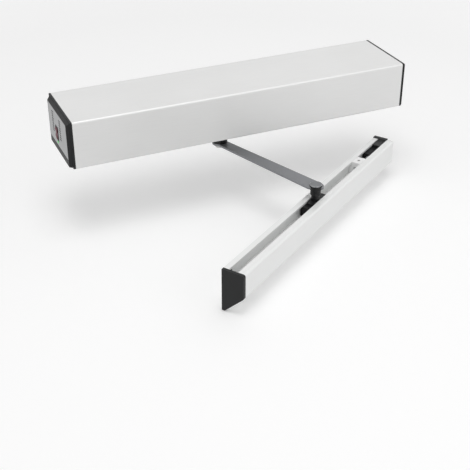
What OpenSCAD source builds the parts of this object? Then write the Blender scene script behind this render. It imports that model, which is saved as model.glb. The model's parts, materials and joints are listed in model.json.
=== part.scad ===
// Swing door operator with a sliding arm. Millimetres.
// X runs along the operator, Y goes into the wall, Z is up.
// The origin is the middle of the base plate's back, on the wall face.

/* [Housing] */
// Length of the cover between the two end caps
cover_l = 560; // [540:5:640]
// Depth from the wall to the front of the cover
housing_d = 120; // [108:1:140]
// Height of the cover
housing_h = 76; // [74:1:90]
// Wall of the extruded cover
cover_t = 1.6; // [1.2:0.1:2.2]
// Outer radius of the cover's long front edges
cover_r = 3; // [2.5:0.5:6]
// Plate thickness of the wall chassis
base_t = 3; // [2:0.5:4]
// Depth of the chassis flanges that the cover clips on
flange_d = 15; // [12:1:20]
// Distance from each chassis end to its fixing holes
fixing_inset = 20; // [16:1:24]
// Height between the upper and lower fixing holes
fixing_spacing_z = 44; // [36:1:48]
// Radius of the wall fixing holes
fixing_hole_r = 3.3; // [2.5:0.1:3.5]
// Radius of the hole through the cable grommet
cable_hole_r = 5; // [4:0.5:7]
// Distance of the cable entry from the spindle axis
cable_entry_x = 91; // [86:1:96]

/* [End caps] */
// Thickness of the left cap outside the cover
left_cap_t = 9; // [8.5:0.5:14]
// Thickness of the right cap outside the cover
right_cap_t = 5; // [4:0.5:9]
// Step by which the left cap's raised face is smaller than the cover
cap_inset = 2; // [1.5:0.5:4]
// Length of the left cap's full-size flange
cap_flange_t = 3; // [2.5:0.5:5]
// Depth of the spigots that plug into the cover
spigot_l = 7; // [5:0.5:10]
// Wall of the moulded spigots
spigot_t = 2; // [1.5:0.25:3]
// Wall of the left cap round its hollow
cap_wall = 2.5; // [2:0.25:3]

/* [Control panel] */
// Depth of the control panel plate, along Y
panel_w = 98; // [90:1:99]
// Height of the control panel plate
panel_h = 56; // [52:1:57]
// Distance from the front of the housing to the panel plate
panel_front = 6; // [5.5:0.5:7]
// Thickness of the control panel plate
panel_t = 2; // [1.5:0.25:3]
// Length of the rocker switch, along Z
rocker_h = 20; // [16:1:21]
// Width of the rocker switch, along Y
rocker_w = 11; // [9:0.5:13]
// Tilt of the rocker to each side
rocker_tilt = 8; // [5:1:10]
// Radius of the status lens
lens_r = 2.5; // [2:0.25:3]
// Number of slots in each column of the panel
panel_slots = 9; // [5:1:11]

/* [Spindle and arm] */
// Place of the spindle axis along the operator
spindle_x = -23; // [-30:1:-18]
// Distance of the spindle axis from the wall
spindle_y = 60; // [58:0.5:64]
// Radius of the black hub round the spindle
hub_r = 13; // [12:0.5:15]
// Gap between the underside of the cover and the top of the arm
arm_drop = 31; // [26:1:36]
// Distance between the spindle axis and the arm's pin
arm_len = 211.5; // [190:0.5:240]
// Direction of the arm seen from above, measured from +X
arm_angle = -69.5; // [-76:0.5:-62]
// Thickness of the arm bar
arm_t = 4; // [3:0.5:8]
// Radius of the arm's end round the spindle
arm_root_r = 12; // [11:0.5:14]
// Width of the arm bar next to the spindle
arm_root_w = 18; // [16:0.2:22]
// Radius of the hook that the arm's end makes round the bush
arm_tip_r = 12.2; // [11.6:0.1:14]
// Direction that the open side of the hook faces, measured from the bar
hook_turn = 47; // [35:1:60]
// Distance from the pin's axis to the open side of the hook
hook_cut = 5.5; // [4.5:0.5:7]
// Width across the flats of the spindle's square end
square_w = 11; // [10:0.5:13]

/* [Arm pin and slider] */
// Radius of the pin's shank
pin_r = 5.2; // [4.5:0.1:5.5]
// Radius of the pin's flat head
pin_head_r = 9.4; // [7.5:0.1:9.6]
// Height of the pin's flat head
pin_head_t = 1.2; // [0.8:0.1:2]
// Radius of the black bush in the arm's hook
collar_r = 9.6; // [9:0.1:10]
// Height of the bush above the arm
collar_rise = 1.4; // [0.6:0.2:2]
// Length of the bush below the arm
collar_h = 1.5; // [0.5:0.5:3]
// Radius of the ribbed part below the bush
sleeve_r = 7.6; // [7:0.1:8.4]
// Height of the ribbed part
sleeve_h = 9.5; // [8:0.5:12]
// Radius of the plain neck that dips into the slot
neck_r = 6.3; // [6:0.1:6.6]
// Length of the slider block along the channel
slider_l = 54; // [44:1:60]
// Length of the slider's neck in the slot
slider_neck_l = 34; // [26:1:40]

/* [Slide channel] */
// Angle between the channel and the wall
door_angle = 34; // [28:1:40]
// Length of the channel's aluminium profile
channel_l = 477; // [440:1:520]
// Distance from the pin to the hinge end of the profile
pin_to_hinge_end = 243.5; // [230:0.5:260]
// Width of the channel from its back to its front face
channel_w = 36; // [36:0.5:40]
// Height of the channel's back
channel_back_h = 68; // [66:1:74]
// Height of the channel's front face
channel_front_h = 38; // [36:1:44]
// Drop from the top of the arm to the top of the channel
channel_drop = 23; // [22:0.5:28]
// Width of the slot along the top of the channel
slot_w = 15; // [14:0.5:16]
// Distance from the channel's back to the slot
slot_back = 9; // [8.5:0.5:10]
// Thickness of the two lips beside the slot
lip_t = 3.5; // [3:0.25:5]
// Width of the track under the lips
track_w = 24; // [22:0.5:25]
// Height of the track under the lips
track_h = 17; // [15:0.5:20]
// Walls of the lower hollow of the profile
channel_wall = 2.6; // [2:0.1:3]
// Radius of the channel's upper front edge
channel_edge_r = 3.5; // [2:0.5:4]
// Thickness of the cap on the free end of the channel
free_cap_t = 5; // [3:0.5:6]
// Thickness of the cap on the hinge end of the channel
hinge_cap_t = 3; // [2.5:0.5:6]
// Distance between the two channel fixing holes
channel_fix_spacing = 400; // [360:10:410]
// Radius of the channel fixing holes
channel_fix_r = 2.6; // [2.2:0.1:3]
// Height of the fixing holes below the channel's top
channel_fix_drop = 50; // [46:1:54]
// Radius of the driver access holes under the channel
access_r = 5; // [4.5:0.25:6]

/* [End stop] */
// Distance from the hinge end of the profile to the stop block
stop_place = 104; // [95:1:112]
// Length of the stop block along the channel
stop_l = 21; // [16:1:24]
// Thickness of the rubber ring behind the stop block
stop_ring_t = 10; // [6:0.5:12]
// Radius of the adjusting rod
stop_rod_r = 4; // [3:0.25:5]
// Length of the rod seat on the hinge cap
rod_seat_l = 55; // [45:1:58]

/* [Gear train] */
// Pressure angle of all gears
pressure_angle = 25; // [22:1:25]
// Play between the teeth, along the pitch circle
backlash = 0.16; // [0.12:0.02:0.3]
// Tooth module of the output stage
m_out = 1.75; // [1.6:0.05:1.8]
// Teeth of the output gear
z_out = 40; // [36:1:40]
// Teeth of the pinion that drives the output gear
z_out_pinion = 13; // [12:1:14]
// Tooth module of the middle stage
m_mid = 1.25; // [1.2:0.05:1.3]
// Teeth of the middle gear
z_mid = 42; // [38:1:42]
// Teeth of the pinion that drives the middle gear
z_mid_pinion = 12; // [12:1:14]
// Tooth module of the motor stage
m_in = 1; // [0.95:0.05:1.05]
// Teeth of the first gear
z_in = 44; // [40:1:44]
// Teeth of the motor pinion
z_motor = 12; // [12:1:13]
// Tooth module of the spring rack
m_rack = 1.5; // [1.4:0.05:1.6]
// Teeth of the rack pinion
z_rack_pinion = 16; // [15:1:17]
// Direction from the spindle to the second axle
axle_2_angle = 15; // [12:1:20]
// Direction from the second axle to the first axle
axle_1_angle = -20; // [-24:1:-16]
// Face width of the output gear
face_out = 10; // [9:0.5:11]
// Face width of the middle gear
face_mid = 7; // [6:0.5:7.5]
// Face width of the first gear
face_in = 7; // [6:0.5:7.5]
// Radius of the fixed gear axles
axle_r = 4; // [3.5:0.25:4.5]

/* [Gearbox] */
// Thickness of the gearbox floor
floor_t = 4; // [3.5:0.25:5]
// Thickness of the gearbox side walls
wall_t = 4; // [3:0.5:5]
// Thickness of the gearbox lid
lid_t = 4; // [3.5:0.25:5]
// Radius of the spindle in its lower bearing
journal_r = 10; // [9:0.5:10.5]
// Radius of the spindle in the rack pinion and the upper bearing
top_journal_r = 7; // [6:0.5:7.5]
// Radial thickness of the spindle bushes
bush_t = 3; // [2:0.5:4]

/* [Motor] */
// Radius of the flat motor
motor_r = 27; // [24:1:28]
// Height of the rotor bell
motor_h = 20; // [16:1:22]
// Number of rotor magnets
magnets = 14; // [8:2:20]
// Number of stator teeth
stator_teeth = 12; // [9:3:15]

/* [Closing spring] */
// Outer radius of the spring tube
tube_r = 16; // [15:0.5:18]
// Wall of the spring tube
tube_t = 2; // [1.5:0.25:2.5]
// Length of the spring tube
tube_l = 120; // [112:1:130]
// Outer radius of the spring coil
coil_r = 12; // [11:0.25:12.5]
// Radius of the spring wire
wire_r = 1.6; // [1.2:0.1:1.8]
// Number of spring turns
coil_turns = 9; // [7:1:11]
// Distance of the tube's saddle from the end of the tube
saddle_place = 30; // [26:1:34]

/* [Power supply and control board] */
// Space between the gearbox and the power supply
supply_gap = 11; // [8:1:20]
// Depth of the power supply case
supply_d = 92; // [80:1:100]
// Height of the power supply case
supply_h = 54; // [46:1:60]
// Sheet thickness of the power supply case
supply_t = 1.2; // [1:0.1:1.6]
// Space between the control board and the spring's bracket
board_gap = 6; // [4:1:12]
// Height of the control board
board_h = 60; // [54:1:64]
// Number of terminal ways on the board
terminal_ways = 10; // [6:1:12]

/* [Fits] */
// Gap between parts that move past each other
move_gap = 0.5; // [0.4:0.1:0.8]
// Radial running fit of journals and axles
run_fit = 0.04; // [0.02:0.01:0.08]
// Gap between fixed parts that are plugged together
seat_gap = 0.02; // [0.01:0.01:0.05]
// Gap between the gears stacked on neighbouring levels
level_gap = 1.5; // [1.2:0.1:2]

/* [Hidden] */

$fn = 48;

// Heights of the housing, measured from the middle of the base plate
cover_bottom = -housing_h / 2;
inner_bottom = cover_bottom + cover_t;
inner_top = housing_h / 2 - cover_t;
chassis_gap = 0.5;
chassis_l = cover_l - 2 * chassis_gap;
chassis_h = housing_h - 2 * cover_t - 2 * chassis_gap;
flange_t = 2;
bead_h = 1;
bead_w = 2.4;

// Gears: pitch radii, centre distances and axle places
function pitch_r(m, z) = m * z / 2;
function tip_r(m, z) = pitch_r(m, z) + m;
function polar(r, a) = [r * cos(a), r * sin(a)];
spindle_xy = [spindle_x, -spindle_y];
centre_out = pitch_r(m_out, z_out) + pitch_r(m_out, z_out_pinion);
centre_mid = pitch_r(m_mid, z_mid) + pitch_r(m_mid, z_mid_pinion);
centre_in = pitch_r(m_in, z_in) + pitch_r(m_in, z_motor);
axle_2 = spindle_xy + polar(centre_out, axle_2_angle);
axle_1 = axle_2 + polar(centre_mid, axle_1_angle);
motor_xy = axle_1 + [centre_in, 0];

// Turn of a gear that meshes with another one of turn a, seen along direction dir
function meshed(dir, a, z_from, z_to) = dir + 180 + 180 / z_to + (dir - a) * z_from / z_to;
out_turn = 0;
out_pinion_turn = meshed(axle_2_angle, out_turn, z_out, z_out_pinion);
mid_turn = 0;
mid_pinion_turn = meshed(axle_1_angle, mid_turn, z_mid, z_mid_pinion);
in_turn = 0;
motor_turn = meshed(0, in_turn, z_in, z_motor);

// Levels of the gearbox, from the floor up
gearbox_bottom = inner_bottom + 0.4;
floor_top = gearbox_bottom + floor_t;
level_1 = floor_top + 1;
level_2 = level_1 + face_out + level_gap;
level_3 = level_2 + face_mid + level_gap;
lid_bottom = level_3 + face_in + level_gap;
lid_top = lid_bottom + lid_t;
pinion_over = 0.4;

// Outline of the gearbox round its gears
gear_room = 2.5;
gearbox_x0 = spindle_x - tip_r(m_out, z_out) - gear_room - wall_t;
gearbox_x1 = motor_xy[0] + motor_r + 2;
gearbox_y0 = -spindle_y - tip_r(m_out, z_out) - gear_room - wall_t;
gearbox_y1 = axle_2[1] + tip_r(m_mid, z_mid) + gear_room + wall_t;
foot_w = 18;
foot_t = 5;
lid_screw_inset = 5;

// Arm, pin and channel heights
arm_top = cover_bottom - arm_drop;
arm_bottom = arm_top - arm_t;
channel_top = arm_top - channel_drop;
pin_xy = spindle_xy + polar(arm_len, arm_angle);
bush_top = arm_top + collar_rise;
collar_bottom = arm_bottom - collar_h;
sleeve_bottom = collar_bottom - sleeve_h;

// Slider and channel, in the channel's own frame: X to the hinge end, Y to the door, Z from its top
slot_mid = slot_back + slot_w / 2;
back_y = slot_mid;
front_y = back_y - channel_w;
track_top = -lip_t;
track_bottom = track_top - track_h;
slider_w = track_w - 2 * move_gap;
slider_h = track_h - 2 * move_gap;
neck_w = slot_w - 2 * move_gap;
neck_top = -1.2;
sleeve_foot = channel_top + neck_top + move_gap;
hinge_end = pin_to_hinge_end;
free_end = hinge_end - channel_l;
stop_x = hinge_end - stop_place;
foot_r = 1.2;

// Spring rack on the wall side of its pinion
rack_r = pitch_r(m_rack, z_rack_pinion);
rack_h = face_in - 2 * pinion_over;
rack_pitch_y = -spindle_y + rack_r;
rack_back = 8;
spring_y = rack_pitch_y + 1.3 * m_rack + rack_back / 2;
spring_z = level_3 + face_in / 2;
close_travel = rack_r * 98 * PI / 180;
open_travel = rack_r * 35 * PI / 180;
tube_x1 = gearbox_x0;
tube_x0 = tube_x1 - tube_l;
piston_t = 5;
piston_x = tube_x1 - close_travel - 2;
adjuster_t = 6;
spring_x0 = tube_x0 + adjuster_t;
spring_x1 = piston_x - piston_t;

// Motor on the lid
motor_z = lid_top + 3;
bell_t = 2;
shaft_r = 3;

// Panel, on the left cap's outer face
left_x = -cover_l / 2;
right_x = cover_l / 2;
panel_x = left_x - left_cap_t;
face_bevel = 2;
panel_y = -housing_d + panel_front + panel_w / 2;
panel_z = housing_h / 2 - cap_inset - face_bevel - 1 - panel_h / 2;
rocker_y = panel_y + panel_w * 0.06;
rocker_z = panel_z - panel_h * 0.14;

// Points on an arc from angle a0 to a1
function arc(c, r, a0, a1, n = 8) = [for (i = [0:n]) c + polar(r, a0 + (a1 - a0) * i / n)];

// Outline with its corners rounded: each point is [x, y, radius]
function unit(v) = v / norm(v);
function wrap(a) = a > 180 ? a - 360 : a < -180 ? a + 360 : a;
function rounded(pts, n = 6) = [
    for (i = [0:len(pts) - 1])
        let (
            p = [pts[i][0], pts[i][1]], r = pts[i][2],
            q0 = pts[(i + len(pts) - 1) % len(pts)], q1 = pts[(i + 1) % len(pts)],
            u = unit([q0[0], q0[1]] - p), v = unit([q1[0], q1[1]] - p),
            half = acos(u * v) / 2
        )
        each r == 0 ? [p] :
            let (
                c = p + unit(u + v) * r / sin(half),
                s = p + u * r / tan(half) - c, e = p + v * r / tan(half) - c,
                a0 = atan2(s[1], s[0]), da = wrap(atan2(e[1], e[0]) - a0)
            )
            [for (k = [0:n]) c + polar(r, a0 + da * k / n)]
];

// Involute gear outline
function inv(r, rb) = sqrt(r * r / rb / rb - 1) * 180 / PI - acos(rb / r);
function gear_outline(m, z, steps = 4) =
    let (
        rp = pitch_r(m, z), rb = rp * cos(pressure_angle), ra = tip_r(m, z), rf = rp - 1.25 * m,
        half_pitch = 90 / z - backlash / 4 / rp * 180 / PI + inv(rp, rb),
        r0 = max(rb, rf),
        flank = [for (i = [0:steps]) let (r = r0 + (ra - r0) * i / steps) [r, half_pitch - inv(r, rb)]],
        root = [rf, half_pitch - inv(r0, rb)]
    )
    [
        for (t = [0:z - 1]) let (a = 360 * t / z) each concat(
            [polar(root[0], a - root[1])],
            [for (f = flank) polar(f[0], a - f[1])],
            [for (i = [steps:-1:0]) polar(flank[i][0], a + flank[i][1])],
            [polar(root[0], a + root[1])]
        )
    ];

module gear(m, z, h, turn, bore_r) {
    rotate([0, 0, turn]) difference() {
        linear_extrude(h) polygon(gear_outline(m, z));
        translate([0, 0, -1]) cylinder(h = h + 2, r = bore_r);
    }
}

// Web gear: recessed faces and a ring of round lightening holes
module web_gear(m, z, h, turn, bore_r, hub) {
    rim = pitch_r(m, z) - 3.2 * m;
    hole_ring = (rim + hub) / 2;
    hole_r = (rim - hub) / 2 - 1.2;
    recess = 1.2;
    difference() {
        gear(m, z, h, turn, bore_r);
        for (z0 = [-1, h - recess]) translate([0, 0, z0]) difference() {
            cylinder(h = recess + 1, r = rim);
            translate([0, 0, -1]) cylinder(h = recess + 3, r = hub);
        }
        for (a = [0:60:300]) translate(concat(polar(hole_ring, turn + a), -1))
            cylinder(h = h + 2, r = hole_r);
    }
}

// Section drawn in Y and Z, extruded along X from x0
module along_x(x0, l) {
    translate([x0, 0, 0]) rotate([90, 0, 90]) linear_extrude(l) children();
}

// Rod along X
module rod_x(x0, l, r) {
    translate([x0, 0, 0]) rotate([0, 90, 0]) cylinder(h = l, r = r);
}

// Block between two corners
module block(a, b) {
    translate(a) cube(b - a);
}

// Button-head screw pointing down, head seated at z = 0, with a hexagon socket
module screw(r, head_r, head_h, l) {
    difference() {
        union() {
            cylinder(h = head_h, r = head_r);
            translate([0, 0, -l]) cylinder(h = l, r = r);
        }
        translate([0, 0, head_h * 0.4]) cylinder(h = head_h, r = head_r * 0.5, $fn = 6);
    }
}

// Wall chassis: a plate with two beaded flanges, end tabs and fixing holes
tab_w = 14;
tab_t = 2.5;
cap_screw_r = 1.5;
cap_screw_z = chassis_h / 2 - flange_t - 7;
cap_screw_y = -base_t - 8;
module base_plate() {
    half = chassis_h / 2;
    color("lightgray") difference() {
        union() {
            along_x(-chassis_l / 2, chassis_l) {
                polygon(rounded([[-base_t, -half, 0], [0, -half, 0], [0, half, 0], [-base_t, half, 0]]));
                for (s = [-1, 1]) scale([1, s]) flange_section(half);
            }
            for (sx = [-1, 1]) for (sz = [-1, 1]) chassis_tab(sx, sz, half);
        }
        for (x = fixing_xs()) for (z = [-1, 1]) translate([x, 1, z * fixing_spacing_z / 2]) rotate([90, 0, 0])
            cylinder(h = base_t + 2, r = fixing_hole_r);
        translate([grommet_x, 1, grommet_z]) rotate([90, 0, 0])
            cylinder(h = base_t + 2, r = grommet_neck_r + seat_gap);
        for (sx = [-1, 1]) for (sz = [-1, 1]) translate([sx * chassis_l / 2, cap_screw_y, sz * cap_screw_z])
            rotate([0, 90, 0]) cylinder(h = 4 * tab_t, r = cap_screw_r + seat_gap, center = true);
        // Shallow gap in the lower flange for the gearbox's back
        block([gearbox_x0 - 1, -flange_d - 1, -half - 1],
            [gearbox_x1 + 1, max(gearbox_y1 + 1, -flange_d - 0.5), -half + flange_t + 1]);
    }
}
function fixing_xs() = [-chassis_l / 2 + fixing_inset, chassis_l / 2 - fixing_inset];

// Upper flange with the groove that the cover's bead snaps into
module flange_section(half) {
    y1 = -flange_d;
    g = bead_y - bead_w / 2 - 0.4;
    polygon([
        [-base_t, half - flange_t], [y1, half - flange_t], [y1, half],
        [g, half], [g, half - bead_h], [g + bead_w + 0.8, half - bead_h], [g + bead_w + 0.8, half],
            [-base_t, half]
    ]);
}
bead_y = -flange_d / 2 - 1;

module chassis_tab(sx, sz, half) {
    z1 = half - flange_t;
    x1 = chassis_l / 2 - tab_t;
    mirror([sx < 0 ? 1 : 0, 0, 0]) mirror([0, 0, sz < 0 ? 1 : 0])
        block([x1, -base_t - tab_w, z1 - tab_w], [chassis_l / 2, -base_t, z1]);
}

// Extruded cover: top, front and bottom walls with a snap bead on each leg
notch_half = hub_r + 5;
notch_front = -spindle_y - notch_half;
module cover() {
    h = housing_h / 2;
    y1 = -housing_d;
    r1 = max(cover_r - cover_t, 0.4);
    rear = -0.4;
    color("gainsboro") difference() {
        along_x(left_x, cover_l) {
            polygon(rounded([
                [rear, h, 0], [y1, h, cover_r], [y1, -h, cover_r], [rear, -h, 0],
                [rear, inner_bottom, 0], [y1 + cover_t, inner_bottom, r1], [y1 + cover_t, inner_top, r1],
                    [rear, inner_top, 0]
            ]));
            for (s = [-1, 1]) scale([1, s]) bead_section();
        }
        block([spindle_x - notch_half, notch_front, -h - 1],
            [spindle_x + notch_half, 1, inner_bottom + 0.4 + bead_h + 1]);
    }
}

// Bead inside the cover's leg, seated in the flange's groove
module bead_section() {
    y0 = bead_y - bead_w / 2;
    top = inner_top + 0.2;
    low = chassis_h / 2 - bead_h + 0.3;
    polygon([[y0, top], [y0, low + 0.4], [y0 + 0.4, low], [y0 + bead_w - 0.4, low],
        [y0 + bead_w, low + 0.4], [y0 + bead_w, top]]);
}

// Outline of an end cap, smaller than the cover by inset
module cap_outline(inset) {
    h = housing_h / 2 - inset;
    polygon(rounded([[-0.4, h, 0], [-housing_d + inset, h, cover_r], [-housing_d + inset, -h, cover_r],
        [-0.4, -h, 0]]));
}

// U-shaped spigot that plugs the cap into the cover
spigot_y0 = -flange_d - 3;
module spigot() {
    gap = 0.3;
    h = inner_top - gap;
    y1 = -housing_d + cover_t + gap;
    y0 = spigot_y0;
    difference() {
        polygon(rounded([[y0, h, 0], [y1, h, max(cover_r - cover_t, 0.4)],
            [y1, -h, max(cover_r - cover_t, 0.4)], [y0, -h, 0]]));
        polygon([[y0 + 1, h - spigot_t], [y1 + spigot_t, h - spigot_t], [y1 + spigot_t, -h + spigot_t],
            [y0 + 1, -h + spigot_t]]);
    }
}

// Holes for the screws that hold a cap to the chassis tabs
module cap_screw_holes(x0, l, r) {
    for (s = [-1, 1]) translate([x0, cap_screw_y, s * cap_screw_z]) rotate([0, 90, 0]) cylinder(h = l, r = r);
}

cap_head_r = 3;
cap_head_h = 2;
switch_wall = 2;
switch_room = 3;
switch_back = left_x - 2;
// Box round the rocker, from x0 to x1, larger by grow on each side
module switch_box(x0, x1, grow) {
    block(
        [x0, rocker_y - rocker_w / 2 - grow, rocker_z - rocker_h / 2 - grow],
        [x1, rocker_y + rocker_w / 2 + grow, rocker_z + rocker_h / 2 + grow]
    );
}

// Left cap: full-size flange, raised bevelled face, spigot, hollow back and a well for the switch
module left_cap() {
    h = housing_h / 2;
    flange_x = left_x - cap_flange_t;
    slope = left_cap_t - cap_flange_t;
    hollow_h = h - cap_inset - face_bevel - cap_wall;
    hollow_front = -housing_d + cap_inset + face_bevel + cap_wall;
    color("#2b2c2e") difference() {
        union() {
            difference() {
                union() {
                    along_x(flange_x, cap_flange_t) cap_outline(0);
                    intersection() {
                        along_x(panel_x, slope + 0.01) cap_outline(cap_inset);
                        // Bevelled top and bottom edges of the raised face
                        rotate([90, 0, 0]) linear_extrude(housing_d) polygon([
                            [left_x, -h], [left_x, h], [flange_x, h - cap_inset],
                                [panel_x, h - cap_inset - face_bevel],
                            [panel_x, -h + cap_inset + face_bevel], [flange_x, -h + cap_inset]
                        ]);
                        // Bevelled front edge and the long bevel towards the wall
                        translate([0, 0, -h]) linear_extrude(2 * h) polygon([
                            [left_x, 0], [left_x, -housing_d], [flange_x, -housing_d + cap_inset],
                            [panel_x, -housing_d + cap_inset + face_bevel], [panel_x, -14], [flange_x, -5]
                        ]);
                    }
                    along_x(left_x - 0.01, spigot_l) spigot();
                }
                block([panel_x + panel_t + cap_wall, hollow_front, -hollow_h],
                    [left_x + 1, spigot_y0, hollow_h]);
            }
            switch_box(panel_x + panel_t + cap_wall - 0.01, switch_back + switch_wall,
                switch_room + switch_wall);
        }
        block(
            [panel_x - 1, panel_y - panel_w / 2 - seat_gap, panel_z - panel_h / 2 - seat_gap],
            [panel_x + panel_t, panel_y + panel_w / 2 + seat_gap, panel_z + panel_h / 2 + seat_gap]
        );
        switch_box(panel_x, switch_back, switch_room);
        cap_screw_holes(panel_x - 1, left_cap_t + 2, cap_screw_r + seat_gap);
        cap_screw_holes(panel_x - 1, left_cap_t - cap_flange_t + 1, cap_head_r + 0.3);
        // Small dimple in the flange's front edge
        translate([left_x - cap_flange_t / 2, -housing_d - 1, -4]) rotate([-90, 0, 0])
            cylinder(h = 4, r = cap_flange_t * 0.4);
    }
}

module right_cap() {
    color("#2b2c2e") difference() {
        union() {
            along_x(right_x, right_cap_t - 1.5) cap_outline(0);
            along_x(right_x + right_cap_t - 1.5 - 0.01, 1.5 + 0.01) cap_outline(1);
            along_x(right_x + 0.01 - spigot_l, spigot_l) spigot();
        }
        cap_screw_holes(right_x - 1, right_cap_t + 2, cap_screw_r + seat_gap);
        cap_screw_holes(right_x + right_cap_t - cap_head_h - 0.5, cap_head_h + 2, cap_head_r + 0.3);
    }
}

// Screws that hold the caps to the tabs
module cap_screws() {
    l = tab_t + chassis_gap;
    color("silver") for (s = [-1, 1]) {
        translate([left_x - cap_flange_t, cap_screw_y, s * cap_screw_z]) rotate([0, -90, 0])
            screw(cap_screw_r, cap_head_r, cap_head_h, l + cap_flange_t);
        translate([right_x + right_cap_t - cap_head_h - 0.5, cap_screw_y, s * cap_screw_z]) rotate([0, 90, 0])
            screw(cap_screw_r, cap_head_r, cap_head_h, l + right_cap_t - cap_head_h - 0.5);
    }
}

// Grey plate with two columns of slots, a window for the rocker and a hole for the lens
window_gap = 1.5;
lens_z = rocker_z - rocker_h / 2 - window_gap - lens_r - 1;
slot_top = panel_z + panel_h * 0.36;
slot_pitch = panel_h * 0.62 / panel_slots;
module control_panel() {
    color("darkgray") difference() {
        along_x(panel_x, panel_t - seat_gap) polygon(rounded([
            [panel_y - panel_w / 2, panel_z - panel_h / 2, 1.5],
                [panel_y + panel_w / 2, panel_z - panel_h / 2, 1.5],
            [panel_y + panel_w / 2, panel_z + panel_h / 2, 1.5],
                [panel_y - panel_w / 2, panel_z + panel_h / 2, 1.5]
        ], 4));
        switch_box(panel_x - 1, panel_x + panel_t + 1, window_gap);
        translate([panel_x - 1, rocker_y, lens_z]) rotate([0, 90, 0])
            cylinder(h = panel_t + 2, r = lens_r + seat_gap);
        for (sy = [-1, 1]) for (i = [0:panel_slots - 1])
            translate([panel_x - 1, rocker_y + sy * panel_w * 0.2 - 4, slot_top - i * slot_pitch - 1])
                cube([panel_t + 2, 8, 1.8]);
    }
}

// Frame that the rocker swings in
module switch_frame() {
    color("#202124") difference() {
        switch_box(panel_x - 0.6, switch_back - seat_gap, window_gap - seat_gap);
        block(
            [panel_x - 2, rocker_y - rocker_w / 2 - 0.2, rocker_z - rocker_h / 2 - 0.3],
            [switch_back - 1.5, rocker_y + rocker_w / 2 + 0.2, rocker_z + rocker_h / 2 + 0.3]
        );
        rocker_axle(rocker_pin_r + run_fit, rocker_w + 1.6);
    }
}
rocker_pin_r = 1.2;
rocker_pivot_x = panel_x + 2.6;
module rocker_axle(r, l) {
    translate([rocker_pivot_x, rocker_y, rocker_z]) rotate([90, 0, 0]) cylinder(h = l, r = r, center = true);
}

// Rocker with a shallow V face and a pin at each side
module program_switch() {
    l = rocker_h / 2 - 0.6;
    color("#6b1f24") union() {
        translate([0, rocker_y + rocker_w / 2, 0]) rotate([90, 0, 0]) linear_extrude(rocker_w) polygon([
            for (p = [[-3.6, l - 0.4], [-4.4, l * 0.55], [-3.2, 0], [-4.4, -l * 0.55], [-3.6, -l + 0.4],
                [-0.6, -l + 0.2],
                      [1.6, -2.4], [1.6, 2.4], [-0.6, l - 0.2]])
                [rocker_pivot_x + p[0], rocker_z + p[1]]
        ]);
        rocker_axle(rocker_pin_r, rocker_w + 1.2);
    }
}

module status_lens() {
    color("#57a35b") translate([panel_x - 0.8, rocker_y, lens_z]) rotate([0, 90, 0])
        cylinder(h = panel_t + 0.8 - seat_gap, r = lens_r);
}

// Filler that closes the cover's notch round the hub
module hub_insert() {
    lip = 1.5;
    x0 = spindle_x - notch_half;
    x1 = spindle_x + notch_half;
    y1 = -flange_d - 0.6;
    color("#2b2c2e") difference() {
        union() {
            block([x0 + 0.3, notch_front + 0.3, cover_bottom], [x1 - 0.3, y1, inner_bottom + seat_gap]);
            block([x0 - lip, notch_front - lip, inner_bottom + seat_gap],
                [x1 + lip, y1, gearbox_bottom - seat_gap]);
        }
        translate([spindle_x, -spindle_y, cover_bottom - 1]) cylinder(h = cover_t + 4, r = hub_r + move_gap);
    }
}

// Rubber grommet in the chassis for the supply cable
grommet_x = spindle_x - cable_entry_x;
grommet_z = -16;
grommet_neck_r = cable_hole_r + 2;
module cable_grommet() {
    color("#1c1c1c") translate([grommet_x, 0, grommet_z]) rotate([90, 0, 0]) difference() {
        union() {
            cylinder(h = base_t + 3, r = grommet_neck_r);
            translate([0, 0, base_t + seat_gap]) cylinder(h = 2.5, r = grommet_neck_r + 2.5);
        }
        translate([0, 0, -1]) cylinder(h = base_t + 6, r = cable_hole_r);
    }
}

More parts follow.
